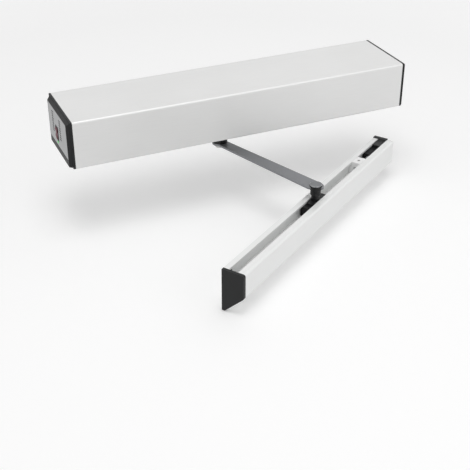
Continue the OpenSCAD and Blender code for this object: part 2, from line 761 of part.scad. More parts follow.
// Cast gearbox: floor, side walls, bearing seats, a window for the rack and two feet on the chassis
bush_outer_r = journal_r + run_fit + bush_t;
top_bush_outer_r = top_journal_r + run_fit + bush_t;
rack_window = 1;
module gearbox_housing() {
    outline = [[gearbox_x0, gearbox_y0, 6], [gearbox_x1, gearbox_y0, 6], [gearbox_x1, gearbox_y1, 6],
        [gearbox_x0, gearbox_y1, 6]];
    w = wall_t;
    inside = [
        [gearbox_x0 + w, gearbox_y0 + w, 3], [gearbox_x1 - w, gearbox_y0 + w, 3],
        [gearbox_x1 - w, gearbox_y1 - w, 3], [gearbox_x0 + w, gearbox_y1 - w, 3]
    ];
    color("silver") difference() {
        union() {
            difference() {
                translate([0, 0, gearbox_bottom]) linear_extrude(lid_bottom - gearbox_bottom)
                    polygon(rounded(outline));
                translate([0, 0, floor_top]) linear_extrude(lid_bottom - floor_top + 1)
                    polygon(rounded(inside));
            }
            for (p = lid_screw_places()) translate([p[0], p[1], gearbox_bottom + 1])
                cylinder(h = lid_bottom - gearbox_bottom - 1, r = lid_screw_inset - 0.5);
            for (p = [axle_1, axle_2]) translate([p[0], p[1], floor_top - 1])
                cylinder(h = 1.6, r = axle_r + 2);
            for (x = foot_xs()) {
                block([x - foot_w / 2, gearbox_y1 - 2, floor_top],
                    [x + foot_w / 2, -base_t - foot_t + 1, lid_bottom - 4]);
                block([x - foot_w / 2 - 7, -base_t - foot_t, floor_top],
                    [x + foot_w / 2 + 7, -base_t - seat_gap, lid_bottom - 4]);
            }
        }
        translate([spindle_x, -spindle_y, gearbox_bottom - 1])
            cylinder(h = floor_t + 2, r = bush_outer_r + seat_gap);
        for (p = [axle_1, axle_2]) translate([p[0], p[1], gearbox_bottom + 1])
            cylinder(h = floor_t + 2, r = axle_r + seat_gap);
        for (p = lid_screw_places()) translate([p[0], p[1], lid_bottom - 12])
            cylinder(h = 13, r = 1.5 + seat_gap);
        // Window for the rack, in the wall that carries the spring tube
        block(
            [gearbox_x0 - 1, rack_pitch_y - 1.3 * m_rack - rack_window, level_3 + pinion_over - rack_window],
            [gearbox_x0 + wall_t + 1, rack_pitch_y + 1.3 * m_rack + rack_back + rack_window,
                level_3 + face_in - pinion_over + rack_window]
        );
    }
}
function lid_screw_places() = [
    for (x = [gearbox_x0 + lid_screw_inset + 1.5, gearbox_x1 - lid_screw_inset - 1.5])
        for (y = [gearbox_y0 + lid_screw_inset + 1.5, gearbox_y1 - lid_screw_inset - 1.5]) [x, y]
];
function foot_xs() = [gearbox_x0 + 30, gearbox_x1 - 20];

module gearbox_lid() {
    i = 0.4;
    color("silver") difference() {
        union() {
            translate([0, 0, lid_bottom]) linear_extrude(lid_t) polygon(rounded([
                [gearbox_x0 + i, gearbox_y0 + i, 6], [gearbox_x1 - i, gearbox_y0 + i, 6],
                [gearbox_x1 - i, gearbox_y1 - i, 6], [gearbox_x0 + i, gearbox_y1 - i, 6]
            ]));
            translate([motor_xy[0], motor_xy[1], lid_top - 0.01]) cylinder(h = 3 + 0.01, r = shaft_r + 5);
        }
        translate([spindle_x, -spindle_y, lid_bottom - 1])
            cylinder(h = lid_t + 2, r = top_bush_outer_r + seat_gap);
        translate([motor_xy[0], motor_xy[1], lid_bottom - 1]) cylinder(h = lid_t + 6, r = shaft_r + run_fit);
        for (p = [axle_1, axle_2]) translate([p[0], p[1], lid_bottom - 1])
            cylinder(h = lid_t + 2, r = axle_r + seat_gap);
        for (p = lid_screw_places()) translate([p[0], p[1], lid_bottom - 1])
            cylinder(h = lid_t + 2, r = 1.5 + seat_gap);
    }
}

module gearbox_screws() {
    color("dimgray") for (p = lid_screw_places()) translate([p[0], p[1], lid_top]) screw(1.5, 3, 2, 12);
}

// Two bushes that the spindle turns in
module spindle_bushes() {
    color("peru") translate([spindle_x, -spindle_y, 0]) {
        translate([0, 0, gearbox_bottom]) bush(floor_t, bush_outer_r, journal_r + run_fit);
        translate([0, 0, lid_bottom]) bush(lid_t, top_bush_outer_r, top_journal_r + run_fit);
    }
}
module bush(h, r, bore_r) {
    difference() {
        cylinder(h = h, r = r);
        translate([0, 0, -1]) cylinder(h = h + 2, r = bore_r);
    }
}

module gear_axles() {
    color("gray") for (p = [axle_1, axle_2]) translate([p[0], p[1], gearbox_bottom + 1 + seat_gap])
        cylinder(h = lid_top - gearbox_bottom - 1 - seat_gap, r = axle_r);
}

// Spindle: wide below for the lower bearing and the output gear, thin above, a square end for the arm
spindle_top = lid_top + 1.5;
spindle_step = level_3 - 0.6;
module spindle() {
    color("gray") translate([spindle_x, -spindle_y, 0]) difference() {
        union() {
            translate([0, 0, arm_top]) cylinder(h = spindle_step - arm_top, r = journal_r);
            translate([0, 0, spindle_step - 0.5])
                cylinder(h = spindle_top - spindle_step + 0.5, r = top_journal_r);
            rotate([0, 0, arm_angle]) translate([-square_w / 2, -square_w / 2, arm_bottom + 0.4])
                cube([square_w, square_w, arm_t]);
        }
        translate([0, 0, arm_bottom - 1]) cylinder(h = 18, r = arm_screw_r + seat_gap);
        translate([0, 0, spindle_top - 1]) cylinder(h = 2, r = top_journal_r - 3, $fn = 6);
    }
}

module output_gear() {
    color("darkgoldenrod") translate([spindle_x, -spindle_y, level_1])
        web_gear(m_out, z_out, face_out, out_turn, journal_r + seat_gap, journal_r + 5);
}

// Pinion on the spindle that drives the spring rack
module rack_pinion() {
    color("darkgoldenrod") translate([spindle_x, -spindle_y, level_3])
        gear(m_rack, z_rack_pinion, face_in, 90, top_journal_r + seat_gap);
}

// Black hub between the gearbox floor and the arm
module spindle_hub() {
    color("#17181a") translate([spindle_x, -spindle_y, arm_top + seat_gap]) difference() {
        cylinder(h = cover_bottom - arm_top + cover_t, r = hub_r);
        translate([0, 0, -1]) cylinder(h = 60, r = journal_r + seat_gap);
    }
}

// Arm bar with a square hole at the spindle, wider towards the open hook that holds the pin's bush
module arm() {
    root_half = arm_root_w / 2;
    color("#6f7074") translate([spindle_x, -spindle_y, arm_bottom]) rotate([0, 0, arm_angle]) difference() {
        union() {
            cylinder(h = arm_t, r = arm_root_r);
            translate([arm_len, 0, 0]) cylinder(h = arm_t, r = arm_tip_r);
            linear_extrude(arm_t)
                polygon([[0, -root_half], [arm_len, -arm_tip_r + 0.02], [arm_len, arm_tip_r - 0.02],
                [0, root_half]]);
        }
        translate([-square_w / 2 - seat_gap, -square_w / 2 - seat_gap, -1])
            cube([square_w + 2 * seat_gap, square_w + 2 * seat_gap, arm_t + 2]);
        translate([arm_len, 0, -1]) cylinder(h = arm_t + 2, r = collar_r + seat_gap);
        translate([arm_len, 0, -1]) rotate([0, 0, -hook_turn]) translate([hook_cut, -arm_tip_r - 4, 0])
            cube([arm_tip_r, 2 * arm_tip_r + 8, arm_t + 2]);
    }
}

// Screw and washer that pull the arm onto the spindle
arm_screw_r = 3;
washer_r = 10;
washer_t = 1.6;
module arm_washer() {
    color("silver") translate([spindle_x, -spindle_y, arm_bottom - washer_t]) difference() {
        cylinder(h = washer_t - seat_gap, r = washer_r);
        translate([0, 0, -1]) cylinder(h = washer_t + 2, r = arm_screw_r + seat_gap);
    }
}
module arm_screw() {
    head_h = 4;
    color("silver") translate([spindle_x, -spindle_y, arm_bottom - washer_t - seat_gap]) difference() {
        union() {
            translate([0, 0, -head_h]) cylinder(h = head_h, r = 2.1 * arm_screw_r);
            translate([0, 0, -1]) cylinder(h = 15, r = arm_screw_r);
        }
        translate([0, 0, -head_h - 1]) cylinder(h = 3.2, r = arm_screw_r, $fn = 6);
    }
}

// Headed pin that drops into the slider
clip_drop = 2.2;
pin_bottom = channel_top + track_bottom + 1.4;
module arm_pin() {
    groove_z = channel_top + track_bottom + clip_drop;
    color("#55575b") translate([pin_xy[0], pin_xy[1], 0]) difference() {
        union() {
            translate([0, 0, bush_top + seat_gap]) cylinder(h = pin_head_t, r = pin_head_r);
            translate([0, 0, pin_bottom]) cylinder(h = bush_top - pin_bottom + 0.5, r = pin_r);
        }
        translate([0, 0, groove_z]) difference() {
            cylinder(h = clip_t + 0.1, r = pin_r + 1);
            translate([0, 0, -1]) cylinder(h = clip_t + 3, r = pin_r - 0.8);
        }
    }
}
clip_t = 0.9;

// Stepped black bush: wide in the arm's hook, ribbed below it, with a plain neck down to the slider
module pin_sleeve() {
    rib = 0.5;
    ribs = 3;
    rib_pitch = sleeve_h / ribs;
    color("#141516") translate([pin_xy[0], pin_xy[1], 0]) difference() {
        union() {
            translate([0, 0, collar_bottom]) cylinder(h = bush_top - collar_bottom, r = collar_r);
            translate([0, 0, sleeve_bottom]) cylinder(h = sleeve_h + 0.01, r = sleeve_r);
            translate([0, 0, sleeve_foot]) cylinder(h = sleeve_bottom - sleeve_foot + 0.01, r = neck_r);
            for (i = [0:ribs - 1]) translate([0, 0, sleeve_bottom + i * rib_pitch + 0.6])
                cylinder(h = rib_pitch * 0.45, r = sleeve_r + rib);
        }
        translate([0, 0, sleeve_foot - 1]) cylinder(h = bush_top - sleeve_foot + 2, r = pin_r + seat_gap);
    }
}

// Open ring in the pin's groove under the slider
module pin_clip() {
    color("silver") translate([pin_xy[0], pin_xy[1], channel_top + track_bottom + clip_drop + 0.05])
        difference() {
        cylinder(h = clip_t, r = pin_r + 2);
        translate([0, 0, -1]) cylinder(h = clip_t + 2, r = pin_r - 0.8 + seat_gap);
        translate([0, -2, -1]) cube([pin_r + 4, 4, clip_t + 2]);
    }
}

// Everything on the channel is placed at the pin and turned with the door
module at_channel() {
    translate([pin_xy[0], pin_xy[1], channel_top]) rotate([0, 0, door_angle]) children();
}

// Block that slides in the track, with a narrow neck in the slot
module slider_block() {
    body_top = track_top - move_gap;
    body_low = body_top - slider_h;
    pocket_top = track_bottom + clip_drop + clip_t + 0.8;
    color("#1b1c1e") at_channel() difference() {
        union() {
            linear_extrude_at(body_low, slider_h) polygon(rounded([
                [-slider_l / 2, -slider_w / 2, 4], [slider_l / 2, -slider_w / 2, 4],
                [slider_l / 2, slider_w / 2, 4], [-slider_l / 2, slider_w / 2, 4]
            ]));
            linear_extrude_at(body_top - 0.01, neck_top - body_top + 0.01) polygon(rounded([
                [-slider_neck_l / 2, -neck_w / 2, 5], [slider_neck_l / 2, -neck_w / 2, 5],
                [slider_neck_l / 2, neck_w / 2, 5], [-slider_neck_l / 2, neck_w / 2, 5]
            ]));
        }
        translate([0, 0, body_low - 1]) cylinder(h = 40, r = pin_r + run_fit);
        translate([0, 0, body_low - 1]) cylinder(h = pocket_top - body_low + 1, r = pin_r + 2.6);
    }
}
module linear_extrude_at(z, h) {
    translate([0, 0, z]) linear_extrude(h) children();
}

// Section of the channel, front to the left: track above, hollow below
module channel_section() {
    t = channel_wall;
    track_y0 = -track_w / 2;
    hollow_top = track_bottom - t;
    difference() {
        polygon(channel_outline(0));
        polygon([
            [-slot_w / 2, 1], [-slot_w / 2, track_top], [track_y0, track_top], [track_y0, track_bottom],
            [-track_y0, track_bottom], [-track_y0, track_top], [slot_w / 2, track_top], [slot_w / 2, 1]
        ]);
        polygon(rounded([
            [back_y - t, hollow_top, foot_r], [track_y0 - t, hollow_top, 0], [track_y0 - t, track_top - 1, 0],
            [front_y + t, track_top - 1, 0], [front_y + t, -channel_front_h + t * 0.4, foot_r],
            [back_y - t, -channel_back_h + t, foot_r]
        ], 3));
    }
}
heel = 5;
function channel_outline(grow) = rounded([
    [back_y, 0, 0], [front_y, 0, channel_edge_r], [front_y, -channel_front_h, 5],
    [back_y - heel, -channel_back_h, 1], [back_y, -channel_back_h, 0]
]);

// Places of the fixing holes along the channel
function channel_fix_xs() = [for (s = [-1, 1]) (hinge_end + free_end) / 2 + s * channel_fix_spacing / 2];
module channel() {
    color("#dcddd9") at_channel() difference() {
        along_x(free_end, channel_l) channel_section();
        for (x = channel_fix_xs()) translate([x, back_y + 1, -channel_fix_drop]) rotate([90, 0, 0]) {
            cylinder(h = channel_wall + 2, r = channel_fix_r);
            translate([0, 0, channel_wall + 2]) cylinder(h = channel_w, r = access_r);
        }
    }
}

// Plug under the track that holds an end cap in the profile's hollow
module hollow_plug(x0, l) {
    t = channel_wall + 0.3;
    along_x(x0, l) polygon(rounded([
        [back_y - t, track_bottom - t, foot_r], [front_y + t, track_bottom - t, foot_r],
        [front_y + t, -channel_front_h + t * 0.4 + 1, foot_r], [back_y - t, -channel_back_h + t + 1, foot_r]
    ], 3));
}

// Short tongue that closes the end of the track
module track_tongue(x0, l, top) {
    g = 0.3;
    along_x(x0, l) polygon([
        [-slot_w / 2 + g, top], [-slot_w / 2 + g, track_top - g], [-track_w / 2 + g, track_top - g],
            [-track_w / 2 + g, track_bottom + g],
        [track_w / 2 - g, track_bottom + g], [track_w / 2 - g, track_top - g],
            [slot_w / 2 - g, track_top - g], [slot_w / 2 - g, top]
    ]);
}

cap_plug_l = 8;
module channel_free_cap() {
    color("#242528") at_channel() union() {
        along_x(free_end - free_cap_t, free_cap_t) polygon(channel_outline(0));
        track_tongue(free_end - 0.01, cap_plug_l, -9);
        hollow_plug(free_end - 0.01, cap_plug_l);
    }
}

// Hinge-end cap with the long stepped seat for the adjusting rod
module channel_hinge_cap() {
    color("#242528") at_channel() difference() {
        union() {
            along_x(hinge_end, hinge_cap_t) polygon(channel_outline(0));
            track_tongue(hinge_end + 0.01 - rod_seat_l / 2, rod_seat_l / 2, -1);
            track_tongue(hinge_end + 0.01 - rod_seat_l, rod_seat_l, -6);
            hollow_plug(hinge_end + 0.01 - cap_plug_l, cap_plug_l);
        }
        translate([hinge_end - rod_seat_l - 1, 0, rod_z]) rod_x(0, rod_seat_l - 4, stop_rod_r + seat_gap);
    }
}

// Bright stop block, level with the lips and clamped on the adjusting rod
rod_z = track_top - track_h / 2;
module stop_block() {
    g = 0.3;
    color("#e6e7e6") at_channel() difference() {
        along_x(stop_x, stop_l) polygon([
            [-slot_w / 2 + g, 0], [-slot_w / 2 + g, track_top - g], [-track_w / 2 + g, track_top - g],
                [-track_w / 2 + g, track_bottom + g],
            [track_w / 2 - g, track_bottom + g], [track_w / 2 - g, track_top - g],
                [slot_w / 2 - g, track_top - g], [slot_w / 2 - g, 0]
        ]);
        translate([stop_x - 1, 0, rod_z]) rod_x(0, stop_l + 2, stop_rod_r + seat_gap);
        translate([stop_x + stop_l / 2, 0, rod_z]) cylinder(h = track_h + lip_t, r = stop_screw_r + seat_gap);
    }
}
stop_screw_r = 2.5;

module stop_ring() {
    color("#101113") at_channel() difference() {
        translate([stop_x + stop_l + seat_gap, 0, rod_z]) rod_x(0, stop_ring_t, track_h / 2 - 0.4);
        translate([stop_x + stop_l - 1, 0, rod_z]) rod_x(0, stop_ring_t + 3, stop_rod_r + seat_gap);
    }
}

// Rod from the hinge cap's seat through the stop block, flatted under the clamp screw
module stop_rod() {
    x1 = hinge_end - 5 - seat_gap;
    color("#8a8d90") at_channel() translate([stop_x + 1, 0, rod_z]) rod_x(0, x1 - stop_x - 1, stop_rod_r);
}

// Grub screw that clamps the stop block on the rod
module stop_screw() {
    z0 = rod_z + stop_rod_r + seat_gap;
    color("dimgray") at_channel() translate([stop_x + stop_l / 2, 0, z0]) difference() {
        cylinder(h = -z0 - 1.2, r = stop_screw_r);
        translate([0, 0, -z0 - 3.4]) cylinder(h = 4, r = 1.4, $fn = 6);
    }
}

// Gears of the second axle
gear_collar = 1.5;
module second_gear() {
    color("goldenrod") translate([axle_2[0], axle_2[1], level_2])
        web_gear(m_mid, z_mid, face_mid, mid_turn, axle_r + gear_collar, axle_r + gear_collar + 3);
}
module second_pinion() {
    color("gray") translate([axle_2[0], axle_2[1], level_1]) difference() {
        union() {
            rotate([0, 0, out_pinion_turn]) linear_extrude(face_out)
                polygon(gear_outline(m_out, z_out_pinion));
            cylinder(h = level_2 - level_1 + face_mid + 0.5, r = axle_r + gear_collar - seat_gap);
        }
        translate([0, 0, -1]) cylinder(h = 40, r = axle_r + run_fit);
    }
}

// Gears of the first axle
module first_gear() {
    color("goldenrod") translate([axle_1[0], axle_1[1], level_3])
        web_gear(m_in, z_in, face_in, in_turn, axle_r + gear_collar, axle_r + gear_collar + 2.5);
}
module first_pinion() {
    color("gray") translate([axle_1[0], axle_1[1], level_2]) difference() {
        union() {
            rotate([0, 0, mid_pinion_turn]) linear_extrude(face_mid)
                polygon(gear_outline(m_mid, z_mid_pinion));
            cylinder(h = level_3 - level_2 + face_in + 0.5, r = axle_r + gear_collar - seat_gap);
        }
        translate([0, 0, -1]) cylinder(h = 40, r = axle_r + run_fit);
    }
}

// Flat motor: wound stator on the lid, rotor bell with magnets round it
module motor_stator() {
    tooth_l = motor_r - bell_t - 3.5;
    color("saddlebrown") translate([motor_xy[0], motor_xy[1], motor_z + 1]) difference() {
        union() {
            cylinder(h = motor_h - 6, r = shaft_r + 5);
            translate([0, 0, -4 + seat_gap]) difference() {
                cylinder(h = 6, r = shaft_r + 8);
                translate([0, 0, -1]) cylinder(h = 4, r = shaft_r + 5 + seat_gap);
            }
            for (i = [0:stator_teeth - 1]) rotate([0, 0, i * 360 / stator_teeth]) {
                translate([0, -1.6, 1]) cube([tooth_l, 3.2, motor_h - 8]);
                translate([shaft_r + 7, -2.6, 2]) cube([tooth_l - shaft_r - 9, 5.2, motor_h - 10]);
            }
        }
        translate([0, 0, -6]) cylinder(h = motor_h + 6, r = shaft_r + move_gap);
    }
}
module motor_rotor() {
    color("#3b3d40") translate([motor_xy[0], motor_xy[1], motor_z]) difference() {
        union() {
            difference() {
                cylinder(h = motor_h, r = motor_r);
                translate([0, 0, -1]) cylinder(h = motor_h - bell_t + 1, r = motor_r - bell_t);
            }
            translate([0, 0, motor_h - 4]) cylinder(h = 4, r = shaft_r + 4);
        }
        translate([0, 0, -1]) cylinder(h = motor_h + 2, r = shaft_r + seat_gap);
        for (a = [0:60:300]) translate(concat(polar(motor_r * 0.6, a), motor_h - bell_t - 1))
            cylinder(h = bell_t + 2, r = 3.5);
    }
}
module motor_magnets() {
    step = 360 / magnets;
    r1 = motor_r - bell_t - seat_gap;
    color("#808488") for (i = [0:magnets - 1]) translate([motor_xy[0], motor_xy[1], motor_z + 1])
        rotate([0, 0, i * step])
        linear_extrude(motor_h - bell_t - 3) polygon(concat(
            arc([0, 0], r1, -step * 0.4, step * 0.4, 4), arc([0, 0], r1 - 1.8, step * 0.4, -step * 0.4, 4)
        ));
}
module motor_shaft() {
    color("silver") translate([motor_xy[0], motor_xy[1], level_3 + 0.5])
        cylinder(h = motor_z + motor_h + 1.5 - level_3 - 0.5, r = shaft_r);
}
module motor_pinion() {
    color("gray") translate([motor_xy[0], motor_xy[1], level_3])
        gear(m_in, z_motor, face_in, motor_turn, shaft_r + seat_gap);
}

// Spring tube, screwed flat against the gearbox wall
module spring_tube() {
    color("lightgray") translate([0, spring_y, spring_z]) difference() {
        union() {
            rod_x(tube_x0, tube_l - seat_gap, tube_r);
            rod_x(tube_x1 - 3, 3 - seat_gap, tube_r + 3);
        }
        rod_x(tube_x0 - 1, tube_l + 2, tube_r - tube_t);
    }
}

// Bracket that carries the far end of the tube
saddle_ear = 9;
module spring_saddle() {
    x0 = tube_x0 + saddle_place;
    w = 12;
    foot_y = -base_t - seat_gap;
    color("silver") difference() {
        union() {
            translate([0, spring_y, spring_z]) rod_x(x0, w, tube_r + 3);
            block([x0, spring_y, spring_z - tube_r], [x0 + w, foot_y, spring_z + tube_r]);
            block([x0 - saddle_ear, foot_y - 3, spring_z - tube_r],
                [x0 + w + saddle_ear, foot_y, spring_z + tube_r]);
        }
        translate([0, spring_y, spring_z]) rod_x(x0 - 1, w + 2, tube_r + seat_gap);
    }
}

// Threaded plug that sets the preload
module spring_adjuster() {
    color("gray") translate([0, spring_y, spring_z]) difference() {
        union() {
            rod_x(tube_x0 - 1, adjuster_t + 1, tube_r - tube_t - seat_gap);
            rod_x(tube_x0 - 3, 3, tube_r - 0.5);
        }
        translate([tube_x0 - 4, 0, 0]) rotate([0, 90, 0]) cylinder(h = 5, r = 5, $fn = 6);
    }
}

// Rack with a round piston that pushes the spring
rack_teeth_x0 = spindle_x - close_travel - 2.5 * PI * m_rack;
rack_teeth_x1 = spindle_x + open_travel + 2 * PI * m_rack;
module spring_rack() {
    p = PI * m_rack;
    n0 = floor((spindle_x - rack_teeth_x0) / p);
    n1 = floor((rack_teeth_x1 - spindle_x) / p);
    // Tooth centres sit half a pitch beside the pinion tooth that points at the rack
    tip_half = p / 4 - backlash / 4 - m_rack * tan(pressure_angle);
    root_half = p / 4 - backlash / 4 + 1.25 * m_rack * tan(pressure_angle);
    x_tip0 = spindle_x - (n0 + 0.5) * p;
    x_end = spindle_x + (n1 + 0.5) * p + root_half + 0.5;
    z0 = level_3 + pinion_over;
    color("dimgray") union() {
        translate([0, rack_pitch_y, z0]) linear_extrude(rack_h) polygon(concat(
            [[piston_x - 1, 1.3 * m_rack + rack_back], [piston_x - 1, 1.25 * m_rack]],
            [for (i = [-n0 - 1:n1]) let (c = spindle_x + (i + 0.5) * p) each [
                [c - root_half, 1.25 * m_rack], [c - tip_half, -m_rack], [c + tip_half, -m_rack],
                    [c + root_half, 1.25 * m_rack]
            ]],
            [[x_end, 1.25 * m_rack], [x_end, 1.3 * m_rack + rack_back]]
        ));
        translate([0, spring_y, spring_z]) rod_x(piston_x - piston_t, piston_t, tube_r - tube_t - move_gap);
        translate([0, spring_y, spring_z]) rod_x(piston_x - piston_t - 8, 9, coil_r - 2 * wire_r - move_gap);
    }
}

// Closing spring: a round wire swept along a helix
module closing_spring() {
    l = spring_x1 - spring_x0 - 2 * wire_r - 0.2;
    r = coil_r - wire_r;
    per_turn = 18;
    sides = 8;
    n = coil_turns * per_turn;
    lead = l / (2 * PI * r * coil_turns);
    points = [
        for (i = [0:n]) let (a = 360 * i / per_turn, x = spring_x0 + wire_r + 0.1 + l * i / n)
            for (k = [0:sides - 1]) let (b = 360 * k / sides, u = wire_r * cos(b), v = wire_r * sin(b))
                [x + v, (r + u) * cos(a) + v * lead * sin(a), (r + u) * sin(a) - v * lead * cos(a)]
    ];
    faces = concat(
        [[for (k = [0:sides - 1]) k]],
        [for (i = [0:n - 1]) for (k = [0:sides - 1]) let (k1 = (k + 1) % sides)
            [i * sides + k, (i + 1) * sides + k, (i + 1) * sides + k1, i * sides + k1]],
        [[for (k = [sides - 1:-1:0]) n * sides + k]]
    );
    color("#4d5054") translate([0, spring_y, spring_z]) polyhedron(points, faces, convexity = 6);
}

// Switched-mode power supply: a tray against the chassis and a slotted cover
supply_x1 = chassis_l / 2 - fixing_inset - 14;
supply_x0 = gearbox_x1 + supply_gap;
supply_l = supply_x1 - supply_x0;
supply_y0 = -base_t - seat_gap;
supply_y1 = supply_y0 - supply_d;
module supply_tray() {
    h = supply_h / 2;
    t = supply_t;
    color("silver") union() {
        block([supply_x0, supply_y0 - t, -h], [supply_x1, supply_y0, h]);
        block([supply_x0, supply_y1, -h], [supply_x1, supply_y0, -h + t]);
        for (x = [supply_x0, supply_x1 - t]) block([x, supply_y1, -h], [x + t, supply_y0, -h + 12]);
    }
}
module supply_cover() {
    h = supply_h / 2;
    t = supply_t;
    e = t + 0.2;
    slots = 14;
    pitch = (supply_l - 20) / slots;
    color("lightgray") difference() {
        union() {
            block([supply_x0 + e, supply_y1 - t, -h + 0.2], [supply_x1 - e, supply_y1 - seat_gap, h + t]);
            block([supply_x0 + e, supply_y1 - t, h + seat_gap], [supply_x1 - e, supply_y0 - t, h + t]);
        }
        for (i = [0:slots - 1]) translate([supply_x0 + 12 + i * pitch, supply_y1 - t - 1, 0]) {
            translate([0, 0, -14]) cube([pitch * 0.45, t + 2, 28]);
            translate([0, 14, h - 1]) cube([pitch * 0.45, supply_d * 0.6, t + 3]);
        }
    }
}

// Control board, upright on four standoffs
board_t = 1.6;
standoff_l = 8;
board_x0 = -chassis_l / 2 + fixing_inset + 14;
board_l = tube_x0 + saddle_place - saddle_ear - board_gap - board_x0;
board_y = -base_t - standoff_l;
function board_corners() = [for (x = [board_x0 + 4, board_x0 + board_l - 4])
    for (z = [-1, 1]) [x, z * (board_h / 2 - 4)]];
module board_standoffs() {
    color("goldenrod") for (p = board_corners()) translate([p[0], -base_t - seat_gap, p[1]])
        rotate([90, 0, 0])
        cylinder(h = standoff_l - 2 * seat_gap, r = 2.5, $fn = 6);
}
module control_board() {
    color("#1f6b45") difference() {
        block([board_x0, board_y - board_t, -board_h / 2], [board_x0 + board_l, board_y, board_h / 2]);
        for (p = board_corners()) translate([p[0], board_y + 1, p[1]]) rotate([90, 0, 0])
            cylinder(h = board_t + 2, r = 1.6);
    }
}
part_h = 19;
module board_parts() {
    y = board_y - board_t - seat_gap;
    relay_l = board_l * 0.18;
    relay_z = board_h * 0.13;
    chip_z = board_h * 0.1;
    can_r = board_l * 0.07;
    color("#22262b") {
        for (i = [0:2]) block(
            [board_x0 + board_l * (0.06 + 0.24 * i), y - part_h * 0.75, relay_z],
            [board_x0 + board_l * (0.06 + 0.24 * i) + relay_l, y, relay_z + board_h * 0.22]
        );
        block([board_x0 + board_l * 0.08, y - 2, -chip_z], [board_x0 + board_l * 0.36, y, chip_z * 0.6]);
        for (i = [0:1]) translate([board_x0 + board_l * (0.48 + 0.19 * i), y, -chip_z / 2])
            rotate([90, 0, 0]) cylinder(h = part_h, r = can_r);
    }
}
module terminal_block() {
    y = board_y - board_t - seat_gap;
    pitch = (board_l - 16) / terminal_ways;
    z0 = -board_h / 2 + 4;
    color("#2f7d4f") difference() {
        block([board_x0 + 8, y - 11, z0], [board_x0 + board_l - 8, y, z0 + 12]);
        for (i = [0:terminal_ways - 1]) {
            translate([board_x0 + 8 + (i + 0.5) * pitch, y - 4.5, z0 + 6]) cylinder(h = 8, r = pitch * 0.28);
            translate([board_x0 + 8 + (i + 0.22) * pitch, y - 12, z0 + 2]) cube([pitch * 0.56, 8, 4]);
        }
    }
}

base_plate();
cover();
left_cap();
right_cap();
control_panel();
switch_frame();
status_lens();
cap_screws();
hub_insert();
cable_grommet();
gearbox_housing();
gearbox_lid();
gearbox_screws();
spindle_bushes();
gear_axles();
motor_stator();
spring_tube();
spring_saddle();
spring_adjuster();
supply_tray();
supply_cover();
control_board();
board_parts();
terminal_block();
board_standoffs();
program_switch();
spindle();
output_gear();
rack_pinion();
spindle_hub();
arm();
arm_washer();
arm_screw();
arm_pin();
pin_sleeve();
pin_clip();
slider_block();
channel();
channel_free_cap();
channel_hinge_cap();
stop_block();
stop_ring();
stop_rod();
stop_screw();
second_gear();
second_pinion();
first_gear();
first_pinion();
motor_rotor();
motor_magnets();
motor_shaft();
motor_pinion();
spring_rack();
closing_spring();
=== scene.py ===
import bpy
import bmesh
import json
import math
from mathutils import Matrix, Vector


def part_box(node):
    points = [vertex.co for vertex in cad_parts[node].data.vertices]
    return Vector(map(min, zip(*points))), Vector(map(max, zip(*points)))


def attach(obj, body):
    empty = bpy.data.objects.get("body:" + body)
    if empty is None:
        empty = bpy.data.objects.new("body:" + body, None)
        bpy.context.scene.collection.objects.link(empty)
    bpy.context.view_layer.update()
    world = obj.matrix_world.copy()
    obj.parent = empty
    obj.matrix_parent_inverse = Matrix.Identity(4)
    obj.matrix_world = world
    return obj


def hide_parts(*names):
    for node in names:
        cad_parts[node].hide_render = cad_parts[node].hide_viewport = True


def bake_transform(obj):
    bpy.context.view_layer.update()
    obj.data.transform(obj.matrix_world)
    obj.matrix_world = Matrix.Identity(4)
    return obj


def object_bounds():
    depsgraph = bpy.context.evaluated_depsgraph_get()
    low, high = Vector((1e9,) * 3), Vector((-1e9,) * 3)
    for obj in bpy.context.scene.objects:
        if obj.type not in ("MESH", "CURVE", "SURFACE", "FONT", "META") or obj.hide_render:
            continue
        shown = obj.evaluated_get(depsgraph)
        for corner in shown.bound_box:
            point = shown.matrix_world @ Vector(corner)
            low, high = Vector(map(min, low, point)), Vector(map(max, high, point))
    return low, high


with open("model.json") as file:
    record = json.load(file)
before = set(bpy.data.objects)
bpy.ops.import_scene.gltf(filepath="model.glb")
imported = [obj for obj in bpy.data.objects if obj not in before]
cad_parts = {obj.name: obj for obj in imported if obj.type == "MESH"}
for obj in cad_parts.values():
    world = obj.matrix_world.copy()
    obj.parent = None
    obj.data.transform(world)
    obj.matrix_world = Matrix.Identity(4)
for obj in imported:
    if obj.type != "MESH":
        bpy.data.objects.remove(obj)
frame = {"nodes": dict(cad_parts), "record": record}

solid_box = [[float(c) for c in corner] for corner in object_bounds()]

# The cover
# One length of extruded aluminium, 560 mm long, with rounded front edges. It is etched and clear
# anodised, so it has a fine drawn grain along its length. It clips over the chassis, between the end caps.


def add(tree, kind, feeds, **options):
    """Adds a node. A feed is a value or another node's output, under its input's name or number."""
    made = tree.nodes.new(kind)
    for option, value in options.items():
        setattr(made, option, value)
    for place, feed in feeds.items():
        if isinstance(feed, bpy.types.NodeSocket):
            tree.links.new(feed, made.inputs[place])
        else:
            made.inputs[place].default_value = feed
    return made


def pattern_group(name, sizes, results):
    """An empty shader node group that takes a place and named sizes, and gives named results."""
    tree = bpy.data.node_groups.new(name, "ShaderNodeTree")
    tree.interface.new_socket("Vector", in_out="INPUT", socket_type="NodeSocketVector")
    for label, value in sizes.items():
        socket = tree.interface.new_socket(label, in_out="INPUT", socket_type="NodeSocketFloat")
        socket.default_value = value
    for label in results:
        tree.interface.new_socket(label, in_out="OUTPUT", socket_type="NodeSocketFloat")
    return tree, tree.nodes.new("NodeGroupInput").outputs, tree.nodes.new("NodeGroupOutput").inputs


